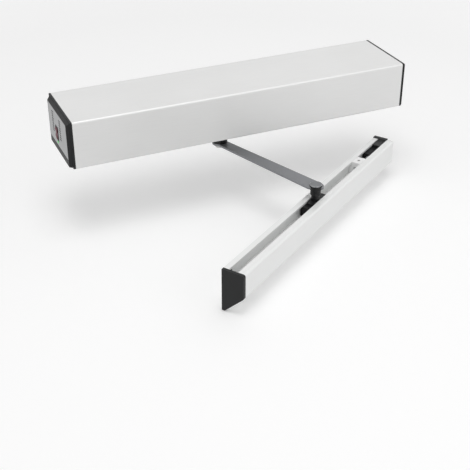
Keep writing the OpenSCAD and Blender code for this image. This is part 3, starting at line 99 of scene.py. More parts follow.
def drawn_grain():
    """Fine lines along X from the extrusion die, with broad cloudiness from the anodising."""
    tree, given, result = pattern_group(
        "Drawn grain", {"Lines": 3000.0, "Stretch": 60.0, "Clouds": 12.0}, ("Mask", "Height"))
    along_x = add(tree, "ShaderNodeMath", {0: given["Lines"], 1: given["Stretch"]}, operation="DIVIDE")
    scale = add(tree, "ShaderNodeCombineXYZ", {0: along_x.outputs[0], 1: given["Lines"], 2: given["Lines"]})
    place = add(tree, "ShaderNodeVectorMath", {0: given["Vector"], 1: scale.outputs[0]}, operation="MULTIPLY")
    lines = add(tree, "ShaderNodeTexNoise", {"Vector": place.outputs[0], "Scale": 1.0, "Detail": 3.0})
    clouds = add(tree, "ShaderNodeTexNoise", {
        "Vector": given["Vector"], "Scale": given["Clouds"], "Detail": 4.0})
    both = add(tree, "ShaderNodeMix", {"Factor": 0.45, "A": lines.outputs["Fac"], "B": clouds.outputs["Fac"]})
    tree.links.new(both.outputs["Result"], result["Mask"])
    tree.links.new(lines.outputs["Fac"], result["Height"])
    return tree


def edge_scuffs_and_highlights():
    """Edge marks: the marked edges come through in patches, as handling and cleaning scuff them; on some
    finishes the same patches carry a painted highlight.
    """
    tree, given, result = pattern_group(
        "Edge scuffs and highlights", {"Edge": 0.0, "Patches": 220.0, "Amount": 0.6}, ("Mask",))
    worn = add(tree, "ShaderNodeTexNoise", {
        "Vector": given["Vector"], "Scale": given["Patches"], "Detail": 5.0})
    share = add(tree, "ShaderNodeMapRange", {
        "Value": worn.outputs["Fac"], "From Min": 0.42, "From Max": 0.62, "To Max": given["Amount"]})
    here = add(tree, "ShaderNodeMath", {0: given["Edge"], 1: share.outputs["Result"]}, operation="MULTIPLY")
    tree.links.new(here.outputs[0], result["Mask"])
    return tree


def material_of(name, pattern, sizes, pale, deep, rough, metal=0.0, bump=0.1, depth=0.0002,
                scuffed_and_highlit=None, rub=0.6, coat=0.0, specular=0.5):
    """A finish whose pattern runs between two colours and two roughnesses and raises the surface.
    The edges that carry the mark take a third colour: scuffing on most finishes, and a painted highlight
    where that colour stands in for light on an edge."""
    material = bpy.data.materials.new(name)
    material.use_nodes = True
    tree = material.node_tree
    shader = tree.nodes["Principled BSDF"]
    place = tree.nodes.new("ShaderNodeTexCoord").outputs["Object"]
    made = add(tree, "ShaderNodeGroup", {"Vector": place, **sizes}, node_tree=pattern)
    spread = add(tree, "ShaderNodeMapRange", {
        "Value": made.outputs["Mask"], "From Min": 0.25, "From Max": 0.75}).outputs["Result"]
    colour = add(tree, "ShaderNodeMix", {"Factor": spread, 6: (*deep, 1), 7: (*pale, 1)}, data_type="RGBA")
    roughness = add(tree, "ShaderNodeMapRange", {"Value": spread, "To Min": rough[0], "To Max": rough[1]})
    finished = colour.outputs[2]
    if scuffed_and_highlit:
        edge = add(tree, "ShaderNodeAttribute", {}, attribute_name="edge")
        worn = add(tree, "ShaderNodeGroup", {
            "Vector": place, "Edge": edge.outputs["Fac"], "Amount": rub}, node_tree=scuffs_and_highlights)
        bright = add(tree, "ShaderNodeMix", {
            "Factor": worn.outputs["Mask"], 6: finished, 7: (*scuffed_and_highlit, 1)}, data_type="RGBA")
        finished = bright.outputs[2]
    raised = add(tree, "ShaderNodeBump", {
        "Strength": bump, "Distance": depth, "Height": made.outputs["Height"]})
    tree.links.new(finished, shader.inputs["Base Color"])
    tree.links.new(roughness.outputs["Result"], shader.inputs["Roughness"])
    tree.links.new(raised.outputs["Normal"], shader.inputs["Normal"])
    shader.inputs["Metallic"].default_value = metal
    shader.inputs["Coat Weight"].default_value = coat
    shader.inputs["Specular IOR Level"].default_value = specular
    return material


def dress(material, *items):
    """Gives solids of the frame, or pieces made here, one material."""
    for item in items:
        piece = frame["nodes"][item] if isinstance(item, str) else item
        piece.data.materials.clear()
        piece.data.materials.append(material)


def mesh_of(name, shape):
    """Keeps what was modelled as a mesh."""
    mesh = bpy.data.meshes.new(name)
    shape.to_mesh(mesh)
    shape.free()
    return mesh


def placed(name, data):
    """Puts a mesh, a lamp or a camera into the scene, at the origin."""
    piece = bpy.data.objects.new(name, data)
    bpy.context.scene.collection.objects.link(piece)
    return piece


def eased(node, body, material, width=0.0003, steps=2):
    """A copy of a solid with its sharp edges eased, marked for scuffing and painted highlight, and shown in
    the solid's place.
    """
    same_place = 2e-6
    flat = math.radians(0.5)
    corner = math.radians(28)
    crease = math.radians(34)
    shape = bmesh.new()
    shape.from_mesh(frame["nodes"][node].data)
    bmesh.ops.remove_doubles(shape, verts=shape.verts, dist=same_place)
    bmesh.ops.dissolve_limit(shape, angle_limit=flat, verts=shape.verts, edges=shape.edges)
    rim = shape.faces.layers.float.new("edge")
    sharp = [e for e in shape.edges if len(e.link_faces) == 2 and e.calc_face_angle() > corner]
    made = bmesh.ops.bevel(shape, geom=sharp, offset=width, offset_type="OFFSET", segments=steps,
                           profile=0.5, affect="EDGES", clamp_overlap=True)
    for face in made["faces"]:
        face[rim] = 1.0
    bmesh.ops.triangulate(shape, faces=shape.faces, ngon_method="BEAUTY")
    for face in shape.faces:
        face.smooth = True
    mesh = mesh_of(node + "_eased", shape)
    mesh.set_sharp_from_angle(angle=crease)
    piece = placed(node + "_eased", mesh)
    even = piece.modifiers.new("Even shading", "WEIGHTED_NORMAL")
    even.keep_sharp = True
    finished = bpy.data.meshes.new_from_object(piece.evaluated_get(bpy.context.evaluated_depsgraph_get()))
    finished.name = mesh.name
    piece.modifiers.clear()
    piece.data = finished
    dress(material, piece)
    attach(piece, body)
    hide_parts(node)
    return piece


grain = drawn_grain()
scuffs_and_highlights = edge_scuffs_and_highlights()
# The pale edge colour on the rounded front edges is partly scuffing and partly a painted highlight along
# them.
cover_aluminium = material_of(
    "Cover, satin anodised", grain, {"Lines": 2600.0, "Stretch": 90.0, "Clouds": 9.0},
    pale=(0.80, 0.80, 0.795), deep=(0.72, 0.72, 0.715), rough=(0.40, 0.50), metal=0.55,
    bump=0.05, depth=0.00003, scuffed_and_highlit=(0.88, 0.88, 0.88), rub=0.8)
eased("cover", "operator", cover_aluminium, width=0.0004)

# The end caps
# Injection moulded in dark grey ABS with a fine spark-eroded texture, plugged into the cover with a spigot
# and screwed to the chassis. The left cap carries the controls on its raised, bevelled face, the right cap
# is a thin plate, and a filler of the same plastic closes the cover's notch round the hub.


def moulded_grain():
    """Spark-eroded texture of moulded plastic, with faint broad shading from handling."""
    tree, given, result = pattern_group(
        "Moulded grain", {"Grain": 2200.0, "Handling": 30.0}, ("Mask", "Height"))
    pits = add(tree, "ShaderNodeTexVoronoi", {
        "Vector": given["Vector"], "Scale": given["Grain"]}, feature="SMOOTH_F1")
    fine = add(tree, "ShaderNodeTexNoise", {
        "Vector": given["Vector"], "Scale": given["Grain"], "Detail": 2.0})
    height = add(tree, "ShaderNodeMath", {
        0: pits.outputs["Distance"], 1: fine.outputs["Fac"]}, operation="MULTIPLY")
    touched = add(tree, "ShaderNodeTexNoise", {
        "Vector": given["Vector"], "Scale": given["Handling"], "Detail": 5.0})
    tree.links.new(touched.outputs["Fac"], result["Mask"])
    tree.links.new(height.outputs[0], result["Height"])
    return tree


skin = moulded_grain()
cap_plastic = material_of(
    "End caps, moulded dark grey", skin, {"Grain": 1700.0, "Handling": 26.0},
    pale=(0.018, 0.0185, 0.0195), deep=(0.011, 0.0115, 0.012), rough=(0.42, 0.58),
    bump=0.25, depth=0.0001, scuffed_and_highlit=(0.06, 0.06, 0.062), rub=0.7, specular=0.25)
for cap in ("left_cap", "right_cap"):
    eased(cap, "operator", cap_plastic, width=0.0004)
eased("hub_insert", "operator", cap_plastic, width=0.0002)

# The control panel
# A punched aluminium plate let into the left cap, with two columns of vent slots, a window for the rocker
# and a hole for the status lens. It is painted mid grey with a fine texture. The cut walls of its slots,
# window and hole, and their eased rims, are painted black: painted shade, where these walls lie in shadow.

panel_paint = material_of(
    "Panel plate, grey texture paint", skin, {"Grain": 900.0, "Handling": 40.0},
    pale=(0.47, 0.475, 0.48), deep=(0.40, 0.405, 0.41), rough=(0.38, 0.5), metal=0.2,
    bump=0.2, depth=0.00012, scuffed_and_highlit=(0.6, 0.6, 0.6), rub=0.3)
panel = eased("control_panel", "operator", panel_paint, width=0.0002)
panel_low, panel_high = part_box("control_panel")
panel_rim = 0.002
facing_out = 0.95
# Marks the faces inside the plate's rim that don't face outwards: the walls of the slots, window and hole,
# with their eased rims.
slot_wall_shade_marks = panel.data.attributes.new("cut", "FLOAT", "FACE")
for face in panel.data.polygons:
    inside = all(panel_low[i] + panel_rim < face.center[i] < panel_high[i] - panel_rim for i in (1, 2))
    slot_wall_shade_marks.data[face.index].value = 1.0 if inside and abs(face.normal.x) < facing_out else 0.0
panel_tree = panel_paint.node_tree
panel_colour = panel_tree.nodes["Principled BSDF"].inputs["Base Color"]
slot_shade_mark = add(panel_tree, "ShaderNodeAttribute", {}, attribute_name="cut")
# Mixes black into these walls: painted shade, where the walls lie in shadow.
slot_walls_painted_shade = add(panel_tree, "ShaderNodeMix", {
    "Factor": slot_shade_mark.outputs["Fac"],
    6: panel_colour.links[0].from_socket,
    7: (0.008, 0.009, 0.012, 1)}, data_type="RGBA")
panel_tree.links.new(slot_walls_painted_shade.outputs[2], panel_colour)

# The rocker switch
# A three-way programme switch: a dark red rocker with a shallow V face in a glossy black frame.
# Both are moulded in nylon, and the rocker is polished by fingers in its middle.

switch_gloss = material_of(
    "Switch frame, glossy black", skin, {"Grain": 2600.0, "Handling": 60.0},
    pale=(0.014, 0.014, 0.015), deep=(0.008, 0.008, 0.009), rough=(0.24, 0.36),
    bump=0.05, depth=0.00005, scuffed_and_highlit=(0.05, 0.05, 0.05), rub=0.6, specular=0.25)
rocker_red = material_of(
    "Rocker, dark red", skin, {"Grain": 2600.0, "Handling": 90.0},
    pale=(0.13, 0.004, 0.022), deep=(0.08, 0.003, 0.014), rough=(0.3, 0.44),
    bump=0.05, depth=0.00005, scuffed_and_highlit=(0.3, 0.02, 0.06), rub=0.5, specular=0.2)
eased("switch_frame", "operator", switch_gloss, width=0.0003)
eased("program_switch", "switch_rocker", rocker_red, width=0.0004, steps=3)

# The status lens
# A small domed light guide of clear green acrylic, pressed into the panel from behind.
# Its tip stands less than a millimetre proud of the plate.

lens_low, lens_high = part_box("status_lens")
lens_y = (lens_low[1] + lens_high[1]) / 2
lens_z = (lens_low[2] + lens_high[2]) / 2
lens_radius = (lens_high[1] - lens_low[1]) / 2
dome_rise = 0.0011
round_steps = 36
full_turn = [math.tau * i / round_steps for i in range(round_steps)]


def skinned(shape, rings, tip):
    """Closes a turned form with faces between its rings, over its first ring and up to its tip."""
    for one, two in zip(rings, rings[1:]):
        for i in range(round_steps):
            shape.faces.new((one[i], one[i - 1], two[i - 1], two[i]))
    for i in range(round_steps):
        shape.faces.new((rings[-1][i], rings[-1][i - 1], tip))
    shape.faces.new(rings[0])
    bmesh.ops.recalc_face_normals(shape, faces=shape.faces)


lens_outline = [(lens_high[0], lens_radius)]
for rise in map(math.radians, (0, 18, 36, 54, 72)):
    lens_outline.append((lens_low[0] + dome_rise * (1 - math.sin(rise)), lens_radius * math.cos(rise)))
lens_shape = bmesh.new()
lens_rings = []
for x, r in lens_outline:
    lens_rings.append([
        lens_shape.verts.new((x, lens_y + r * math.cos(a), lens_z + r * math.sin(a))) for a in full_turn])
skinned(lens_shape, lens_rings, lens_shape.verts.new((lens_low[0], lens_y, lens_z)))
for face in lens_shape.faces:
    face.smooth = len(face.verts) < 5
status_light = placed("status_light", mesh_of("status_light", lens_shape))
lens_green = material_of(
    "Status lens, green acrylic", skin, {"Grain": 500.0, "Handling": 300.0},
    pale=(0.10, 0.46, 0.14), deep=(0.05, 0.30, 0.09), rough=(0.12, 0.2),
    bump=0.03, depth=0.0001, coat=0.5)
lens_glow = lens_green.node_tree.nodes["Principled BSDF"]
lens_glow.inputs["Emission Color"].default_value = (0.12, 0.75, 0.2, 1)
lens_glow.inputs["Emission Strength"].default_value = 0.5
dress(lens_green, status_light)
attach(status_light, "operator")
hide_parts("status_lens")

# The cap and lid screws
# Zinc-plated button-head screws with a hexagon socket and a rolled thread.
# Two hold each end cap on the chassis tabs, and four hold the gearbox lid.


def geometry_tree(name, sockets):
    """An empty geometry tree that takes named inputs and gives one geometry."""
    tree = bpy.data.node_groups.new(name, "GeometryNodeTree")
    for label, kind in sockets.items():
        tree.interface.new_socket(label, in_out="INPUT", socket_type="NodeSocket" + kind)
    tree.interface.new_socket("Geometry", in_out="OUTPUT", socket_type="NodeSocketGeometry")
    return tree, tree.nodes.new("NodeGroupInput").outputs, tree.nodes.new("NodeGroupOutput").inputs


def end_of_tree(tree, made, given, result):
    """Makes what a tree has built plain and gives it its material."""
    real = add(tree, "GeometryNodeRealizeInstances", {"Geometry": made.outputs["Geometry"]})
    look = add(tree, "GeometryNodeSetMaterial", {
        "Geometry": real.outputs["Geometry"], "Material": given["Material"]})
    tree.links.new(look.outputs["Geometry"], result["Geometry"])
    return tree


def screw_tree():
    """Sets the screw that it is given at the corners of a rectangle, turned to where it is driven from."""
    tree, given, result = geometry_tree("Set of screws", {
        "Geometry": "Geometry", "Length spacing": "Float", "Depth spacing": "Float", "Centre": "Vector",
        "Plane turn": "Vector", "Straight": "Vector", "Spread": "Vector", "Material": "Material"})
    grid = add(tree, "GeometryNodeMeshGrid", {
        "Size X": given["Length spacing"],
        "Size Y": given["Depth spacing"],
        "Vertices X": 2,
        "Vertices Y": 2})
    plane = add(tree, "GeometryNodeTransform", {
        "Geometry": grid.outputs["Mesh"], "Rotation": given["Plane turn"]})
    where = add(tree, "GeometryNodeInputPosition", {})
    fan = add(tree, "ShaderNodeVectorMath", {
        0: where.outputs[0], 1: given["Spread"], 2: given["Straight"]}, operation="MULTIPLY_ADD")
    aim = add(tree, "FunctionNodeAlignRotationToVector", {"Vector": fan.outputs[0]}, axis="Z")
    seats = add(tree, "GeometryNodeInstanceOnPoints", {
        "Points": plane.outputs["Geometry"],
        "Instance": given["Geometry"],
        "Rotation": aim.outputs["Rotation"]})
    moved = add(tree, "GeometryNodeTransform", {
        "Geometry": seats.outputs["Instances"], "Translation": given["Centre"]})
    return end_of_tree(tree, moved, given, result)


def grown(name, tree, values, base=None, crease=30):
    """Runs a geometry tree with named values and keeps the plain mesh that it makes."""
    piece = placed(name, base or bpy.data.meshes.new(name))
    maker = piece.modifiers.new("Make", "NODES")
    maker.node_group = tree
    for item in tree.interface.items_tree:
        if item.item_type == "SOCKET" and item.in_out == "INPUT" and item.name in values:
            maker[item.identifier] = values[item.name]
    mesh = bpy.data.meshes.new_from_object(piece.evaluated_get(bpy.context.evaluated_depsgraph_get()))
    piece.modifiers.clear()
    piece.data = mesh
    mesh.name = name
    shape = bmesh.new()
    shape.from_mesh(mesh)
    bmesh.ops.recalc_face_normals(shape, faces=shape.faces)
    for face in shape.faces:
        face.smooth = True
    shape.to_mesh(mesh)
    shape.free()
    mesh.set_sharp_from_angle(angle=math.radians(crease))
    return piece


screw_shank_r = 0.0015
screw_length = 0.0055
screw_head_r = 0.003
screw_head_h = 0.002
screw_pitch = 0.0008
socket_r = 0.0011
socket_depth = 0.0013


def socket_screw(name):
    """A button-head screw along Z with its head's underside at zero, a rolled thread and a hexagon socket."""
    outline = [(0.3 * screw_shank_r, -screw_length), (0.8 * screw_shank_r, -screw_length + 0.3 * screw_pitch)]
    rise = -screw_length + 0.6 * screw_pitch
    while rise < -1.4 * screw_pitch:
        outline.append((screw_shank_r, rise))
        outline.append((0.82 * screw_shank_r, rise + 0.5 * screw_pitch))
        rise += screw_pitch
    outline.append((screw_shank_r, rise))
    outline.append((screw_shank_r, 0))
    for r, z in ((0.97, 0), (1, 0.1), (0.98, 0.4), (0.86, 0.75), (0.7, 0.95), (0.62, 1)):
        outline.append((r * screw_head_r, z * screw_head_h))
    shape = bmesh.new()
    rings = []
    for r, z in outline:
        rings.append([shape.verts.new((r * math.cos(a), r * math.sin(a), z)) for a in full_turn])
    hexagon = [socket_r / math.cos((a % (math.pi / 3)) - math.pi / 6) for a in full_turn]
    socket_floor = screw_head_h - socket_depth
    for z in (screw_head_h, socket_floor):
        rings.append([
            shape.verts.new((r * math.cos(a), r * math.sin(a), z)) for r, a in zip(hexagon, full_turn)])
    skinned(shape, rings, shape.verts.new((0, 0, socket_floor - 0.3 * socket_r)))
    return mesh_of(name, shape)


def machined_rings():
    """Turning marks: fine rings and a patchy sheen, as on plated or turned steel."""
    tree, given, result = pattern_group(
        "Machined sheen", {"Marks": 1500.0, "Patches": 120.0}, ("Mask", "Height"))
    marks = add(tree, "ShaderNodeTexNoise", {
        "Vector": given["Vector"], "Scale": given["Marks"], "Detail": 4.0, "Roughness": 0.7})
    patches = add(tree, "ShaderNodeTexNoise", {
        "Vector": given["Vector"], "Scale": given["Patches"], "Detail": 3.0})
    both = add(tree, "ShaderNodeMix", {"Factor": 0.6, "A": marks.outputs["Fac"], "B": patches.outputs["Fac"]})
    tree.links.new(both.outputs["Result"], result["Mask"])
    tree.links.new(marks.outputs["Fac"], result["Height"])
    return tree


sheen = machined_rings()
screw_steel = material_of(
    "Screws, zinc plated", sheen, {"Marks": 1800.0, "Patches": 260.0},
    pale=(0.62, 0.62, 0.60), deep=(0.45, 0.45, 0.46), rough=(0.26, 0.4), metal=1.0,
    bump=0.08, depth=0.00005, scuffed_and_highlit=(0.8, 0.8, 0.8), rub=0.6)
screws = screw_tree()
low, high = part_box("cap_screws")
cap_screw_set = grown("cap_screw_set", screws, {
    "Length spacing": high[0] - low[0] - 2 * screw_head_h,
    "Depth spacing": high[2] - low[2] - 2 * screw_head_r,
    "Centre": ((low[0] + high[0]) / 2, (low[1] + high[1]) / 2, 0),
    "Plane turn": (math.pi / 2, 0, 0),
    "Straight": (0, 0, 0),
    "Spread": (1, 0, 0),
    "Material": screw_steel}, base=socket_screw("cap_screw"))
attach(cap_screw_set, "operator")
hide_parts("cap_screws")
low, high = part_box("gearbox_screws")
lid_screw_set = grown("lid_screw_set", screws, {
    "Length spacing": high[0] - low[0] - 2 * screw_head_r,
    "Depth spacing": high[1] - low[1] - 2 * screw_head_r,
    "Centre": ((low[0] + high[0]) / 2, (low[1] + high[1]) / 2, high[2] - screw_head_h),
    "Plane turn": (0, 0, 0),
    "Straight": (0, 0, 1),
    "Spread": (0, 0, 0),
    "Material": screw_steel}, base=socket_screw("lid_screw"))
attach(lid_screw_set, "operator")
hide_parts("gearbox_screws")

# The cable grommet
# A soft black rubber ring pushed into the chassis, where the supply cable comes in from behind.
# Its lip is matt with a slight bloom.

rubber = material_of(
    "Grommet and buffer, black rubber", skin, {"Grain": 1200.0, "Handling": 50.0},
    pale=(0.018, 0.018, 0.019), deep=(0.010, 0.010, 0.010), rough=(0.62, 0.8),
    bump=0.2, depth=0.0001, scuffed_and_highlit=(0.05, 0.05, 0.05), rub=0.4, specular=0.25)
eased("cable_grommet", "operator", rubber, width=0.0004)

# The chassis
# Folded and punched steel plate, primed and powder coated in light grey.
# It carries everything and is screwed on through four holes in its back.

chassis_paint = material_of(
    "Chassis, grey powder coat", skin, {"Grain": 700.0, "Handling": 18.0},
    pale=(0.42, 0.43, 0.44), deep=(0.36, 0.37, 0.38), rough=(0.42, 0.55), metal=0.1,
    bump=0.25, depth=0.00015, scuffed_and_highlit=(0.6, 0.6, 0.6), rub=0.5)
eased("base_plate", "operator", chassis_paint, width=0.0003)

# The gearbox
# Die-cast aluminium housing and lid with bearing seats, and a cast saddle for the spring tube. The casting
# skin is slightly grainy, machined faces are brighter at their edges, and the bushes are sintered bronze.

cast_skin = material_of(
    "Gearbox, cast aluminium", skin, {"Grain": 420.0, "Handling": 22.0},
    pale=(0.56, 0.57, 0.58), deep=(0.44, 0.45, 0.46), rough=(0.42, 0.6), metal=0.9,
    bump=0.3, depth=0.0003, scuffed_and_highlit=(0.78, 0.78, 0.79), rub=0.7)
for casting in ("gearbox_housing", "gearbox_lid", "spring_saddle"):
    eased(casting, "operator", cast_skin, width=0.0005)
bronze = material_of(
    "Bushes, sintered bronze", sheen, {"Marks": 1400.0, "Patches": 90.0},
    pale=(0.58, 0.38, 0.18), deep=(0.42, 0.26, 0.12), rough=(0.35, 0.5), metal=1.0,
    bump=0.15, depth=0.0001)
dress(bronze, "spindle_bushes")

# The spindle, axles and shafts
# Ground steel, lightly oiled, turning in the bushes or fixed in the housing.
# The spindle has a step for the rack pinion and a square end for the arm.

ground_steel = material_of(
    "Shafts, ground steel", sheen, {"Marks": 2400.0, "Patches": 60.0},
    pale=(0.56, 0.57, 0.58), deep=(0.44, 0.45, 0.46), rough=(0.2, 0.32), metal=1.0,
    bump=0.08, depth=0.00005, scuffed_and_highlit=(0.75, 0.75, 0.75), rub=0.5)
dress(ground_steel, "spindle", "gear_axles", "motor_shaft")

# The gears
# The three large wheels are hobbed in bronze with recessed, drilled webs.
# The pinions and the rack are cut in hardened steel and run in grease.

gear_bronze = material_of(
    "Wheels, hobbed bronze", sheen, {"Marks": 900.0, "Patches": 45.0},
    pale=(0.66, 0.46, 0.20), deep=(0.48, 0.32, 0.13), rough=(0.25, 0.42), metal=1.0,
    bump=0.12, depth=0.0001)
gear_steel = material_of(
    "Pinions and rack, hardened steel", sheen, {"Marks": 1300.0, "Patches": 70.0},
    pale=(0.42, 0.42, 0.43), deep=(0.28, 0.28, 0.29), rough=(0.26, 0.42), metal=1.0,
    bump=0.12, depth=0.0001)
dress(gear_bronze, "output_gear", "second_gear", "first_gear")
dress(gear_steel, "rack_pinion", "second_pinion", "first_pinion", "motor_pinion", "spring_rack")

# The motor
# A flat motor with an outer rotor: a black painted bell with plated magnets round a varnished stator.
# Each stator tooth carries a coil of enamelled copper wire.

varnish = material_of(
    "Stator, varnished sheets", grain, {"Lines": 2500.0, "Stretch": 1.0, "Clouds": 60.0},
    pale=(0.30, 0.10, 0.045), deep=(0.20, 0.065, 0.03), rough=(0.35, 0.5), metal=0.1,
    bump=0.15, depth=0.0001)
bell_paint = material_of(
    "Rotor bell, black paint", skin, {"Grain": 1500.0, "Handling": 50.0},
    pale=(0.05, 0.05, 0.054), deep=(0.035, 0.035, 0.038), rough=(0.3, 0.42), metal=0.3,
    bump=0.12, depth=0.0001, scuffed_and_highlit=(0.3, 0.3, 0.3), rub=0.6)
magnet_plating = material_of(
    "Magnets, nickel plated", sheen, {"Marks": 1200.0, "Patches": 150.0},
    pale=(0.50, 0.49, 0.46), deep=(0.36, 0.36, 0.34), rough=(0.22, 0.34), metal=1.0,
    bump=0.05, depth=0.0001)
copper = material_of(
    "Windings, enamelled copper", sheen, {"Marks": 900.0, "Patches": 300.0},
    pale=(0.62, 0.25, 0.10), deep=(0.42, 0.15, 0.055), rough=(0.22, 0.36), metal=0.9,
    bump=0.1, depth=0.0001, coat=0.4)
dress(varnish, "motor_stator")
dress(magnet_plating, "motor_magnets")
eased("motor_rotor", "rotor", bell_paint, width=0.0005)


def coil_tree():
    """Winds one coil of wire round a tooth and sets a coil on each tooth of the ring."""
    tree, given, result = geometry_tree("Ring of coils", {
        "Coil width": "Float", "Coil height": "Float", "Corner": "Float", "Wire radius": "Float",
        "First turn": "Float", "Wound length": "Float", "Turns": "Int", "Teeth": "Int",
        "Centre": "Vector", "Material": "Material"})
    loop = add(tree, "GeometryNodeCurvePrimitiveQuadrilateral", {
        "Width": given["Coil width"], "Height": given["Coil height"]})
    bent = add(tree, "GeometryNodeFilletCurve", {
        "Curve": loop.outputs["Curve"], "Radius": given["Corner"], "Count": 3}, mode="POLY")
    wire = add(tree, "GeometryNodeCurvePrimitiveCircle", {"Resolution": 6, "Radius": given["Wire radius"]})
    turn = add(tree, "GeometryNodeCurveToMesh", {
        "Curve": bent.outputs["Curve"], "Profile Curve": wire.outputs["Curve"]})
    upright = add(tree, "GeometryNodeTransform", {
        "Geometry": turn.outputs["Mesh"], "Rotation": (math.pi / 2, 0, math.pi / 2)})
    last_turn = add(tree, "ShaderNodeMath", {
        0: given["First turn"], 1: given["Wound length"]}, operation="ADD")
    start = add(tree, "ShaderNodeCombineXYZ", {"X": given["First turn"]})
    stop = add(tree, "ShaderNodeCombineXYZ", {"X": last_turn.outputs[0]})
    row = add(tree, "GeometryNodeMeshLine", {
        "Count": given["Turns"],
        "Start Location": start.outputs[0],
        "Offset": stop.outputs[0]}, mode="END_POINTS")
    coil = add(tree, "GeometryNodeInstanceOnPoints", {
        "Points": row.outputs["Mesh"], "Instance": upright.outputs["Geometry"]})
    ring = add(tree, "GeometryNodeMeshCircle", {"Vertices": given["Teeth"], "Radius": 0.00001})
    where = add(tree, "GeometryNodeInputPosition", {})
    aim = add(tree, "FunctionNodeAlignRotationToVector", {"Vector": where.outputs[0]}, axis="X")
    around = add(tree, "GeometryNodeInstanceOnPoints", {
        "Points": ring.outputs["Mesh"],
        "Instance": coil.outputs["Instances"],
        "Rotation": aim.outputs["Rotation"]})
    moved = add(tree, "GeometryNodeTransform", {
        "Geometry": around.outputs["Instances"], "Translation": given["Centre"]})
    return end_of_tree(tree, moved, given, result)


low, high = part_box("motor_rotor")
winding_height = 0.008
windings = grown("motor_windings", coil_tree(), {
    "Coil width": 0.0060,
    "Coil height": 0.0112,
    "Corner": 0.001,
    "Wire radius": 0.00042,
    "First turn": 0.0106,
    "Wound length": 0.0082,
    "Turns": 10,
    "Teeth": 12,
    "Centre": ((low[0] + high[0]) / 2, (low[1] + high[1]) / 2, low[2] + winding_height),
    "Material": copper}, crease=60)
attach(windings, "operator")

# The closing spring
# Oil-tempered round wire, coiled cold, with open ends, between the adjuster and the rack's piston.
# It sits in a zinc-plated tube whose far end is closed by the threaded adjuster.


def spring_tree():
    """Sweeps a round wire along a spiral lying on the X axis."""
    tree, given, result = geometry_tree("Compression spring", {
        "Coil radius": "Float", "Wire radius": "Float", "Length": "Float", "Turns": "Float",
        "Start": "Vector", "Material": "Material"})
    path = add(tree, "GeometryNodeCurveSpiral", {
        "Resolution": 32, "Rotations": given["Turns"], "Height": given["Length"],
        "Start Radius": given["Coil radius"], "End Radius": given["Coil radius"]})
    wire = add(tree, "GeometryNodeCurvePrimitiveCircle", {"Resolution": 12, "Radius": given["Wire radius"]})
    swept = add(tree, "GeometryNodeCurveToMesh", {
        "Curve": path.outputs["Curve"], "Profile Curve": wire.outputs["Curve"], "Fill Caps": True})
    laid = add(tree, "GeometryNodeTransform", {
        "Geometry": swept.outputs["Mesh"], "Rotation": (0, math.pi / 2, 0), "Translation": given["Start"]})
    return end_of_tree(tree, laid, given, result)


spring_wire = material_of(
    "Spring, oil-tempered wire", sheen, {"Marks": 1600.0, "Patches": 120.0},
    pale=(0.20, 0.205, 0.215), deep=(0.12, 0.12, 0.13), rough=(0.28, 0.42), metal=0.9,
    bump=0.1, depth=0.0001)
low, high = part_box("closing_spring")
wire_r = 0.0016
spring_end = wire_r + 0.0001
spring = grown("coil_spring", spring_tree(), {
    "Coil radius": 0.0104,
    "Wire radius": wire_r,
    "Length": high[0] - low[0] - 2 * spring_end,
    "Turns": 9.0,
    "Start": (low[0] + spring_end, (low[1] + high[1]) / 2, (low[2] + high[2]) / 2),
    "Material": spring_wire}, crease=50)
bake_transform(spring)
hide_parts("closing_spring")
zinc = material_of(
    "Tube and supply case, zinc plated", grain, {"Lines": 1200.0, "Stretch": 8.0, "Clouds": 60.0},
    pale=(0.60, 0.61, 0.61), deep=(0.46, 0.47, 0.48), rough=(0.3, 0.46), metal=1.0,
    bump=0.08, depth=0.00005, scuffed_and_highlit=(0.75, 0.75, 0.75), rub=0.5)
dress(zinc, "spring_tube", "spring_adjuster")

# The power supply
# A folded tray of galvanised sheet against the chassis, right of the motor.
# A slotted cover of the same sheet closes it.

for sheet in ("supply_tray", "supply_cover"):
    eased(sheet, "operator", zinc, width=0.0002)

# The control board
# Green solder-masked laminate on turned brass standoffs, with black moulded relays, capacitors and a chip,
# and a row of green nylon screw terminals.

solder_mask = material_of(
    "Board, green solder mask", skin, {"Grain": 500.0, "Handling": 110.0},
    pale=(0.020, 0.19, 0.085), deep=(0.012, 0.13, 0.055), rough=(0.25, 0.38),
    bump=0.1, depth=0.0001, scuffed_and_highlit=(0.3, 0.32, 0.18), rub=0.4, coat=0.3)
component_black = material_of(
    "Components, moulded black", skin, {"Grain": 1800.0, "Handling": 90.0},
    pale=(0.045, 0.045, 0.05), deep=(0.025, 0.025, 0.03), rough=(0.35, 0.5),
    bump=0.15, depth=0.0001, scuffed_and_highlit=(0.12, 0.12, 0.12), rub=0.4)
terminal_green = material_of(
    "Terminals, green nylon", skin, {"Grain": 1500.0, "Handling": 80.0},
    pale=(0.045, 0.30, 0.11), deep=(0.03, 0.22, 0.08), rough=(0.35, 0.5),
    bump=0.1, depth=0.0001, scuffed_and_highlit=(0.12, 0.42, 0.2), rub=0.4)
standoff_brass = material_of(
    "Standoffs, turned brass", sheen, {"Marks": 1800.0, "Patches": 200.0},
    pale=(0.70, 0.52, 0.22), deep=(0.52, 0.38, 0.15), rough=(0.22, 0.36), metal=1.0,
    bump=0.08, depth=0.00005)
eased("control_board", "operator", solder_mask, width=0.0001)
eased("board_parts", "operator", component_black, width=0.0003)
eased("terminal_block", "operator", terminal_green, width=0.0002)
dress(standoff_brass, "board_standoffs")

# The hub
# A glossy black acetal sleeve round the spindle, between the cover's underside and the arm.
# It turns with the arm and hides the steel.

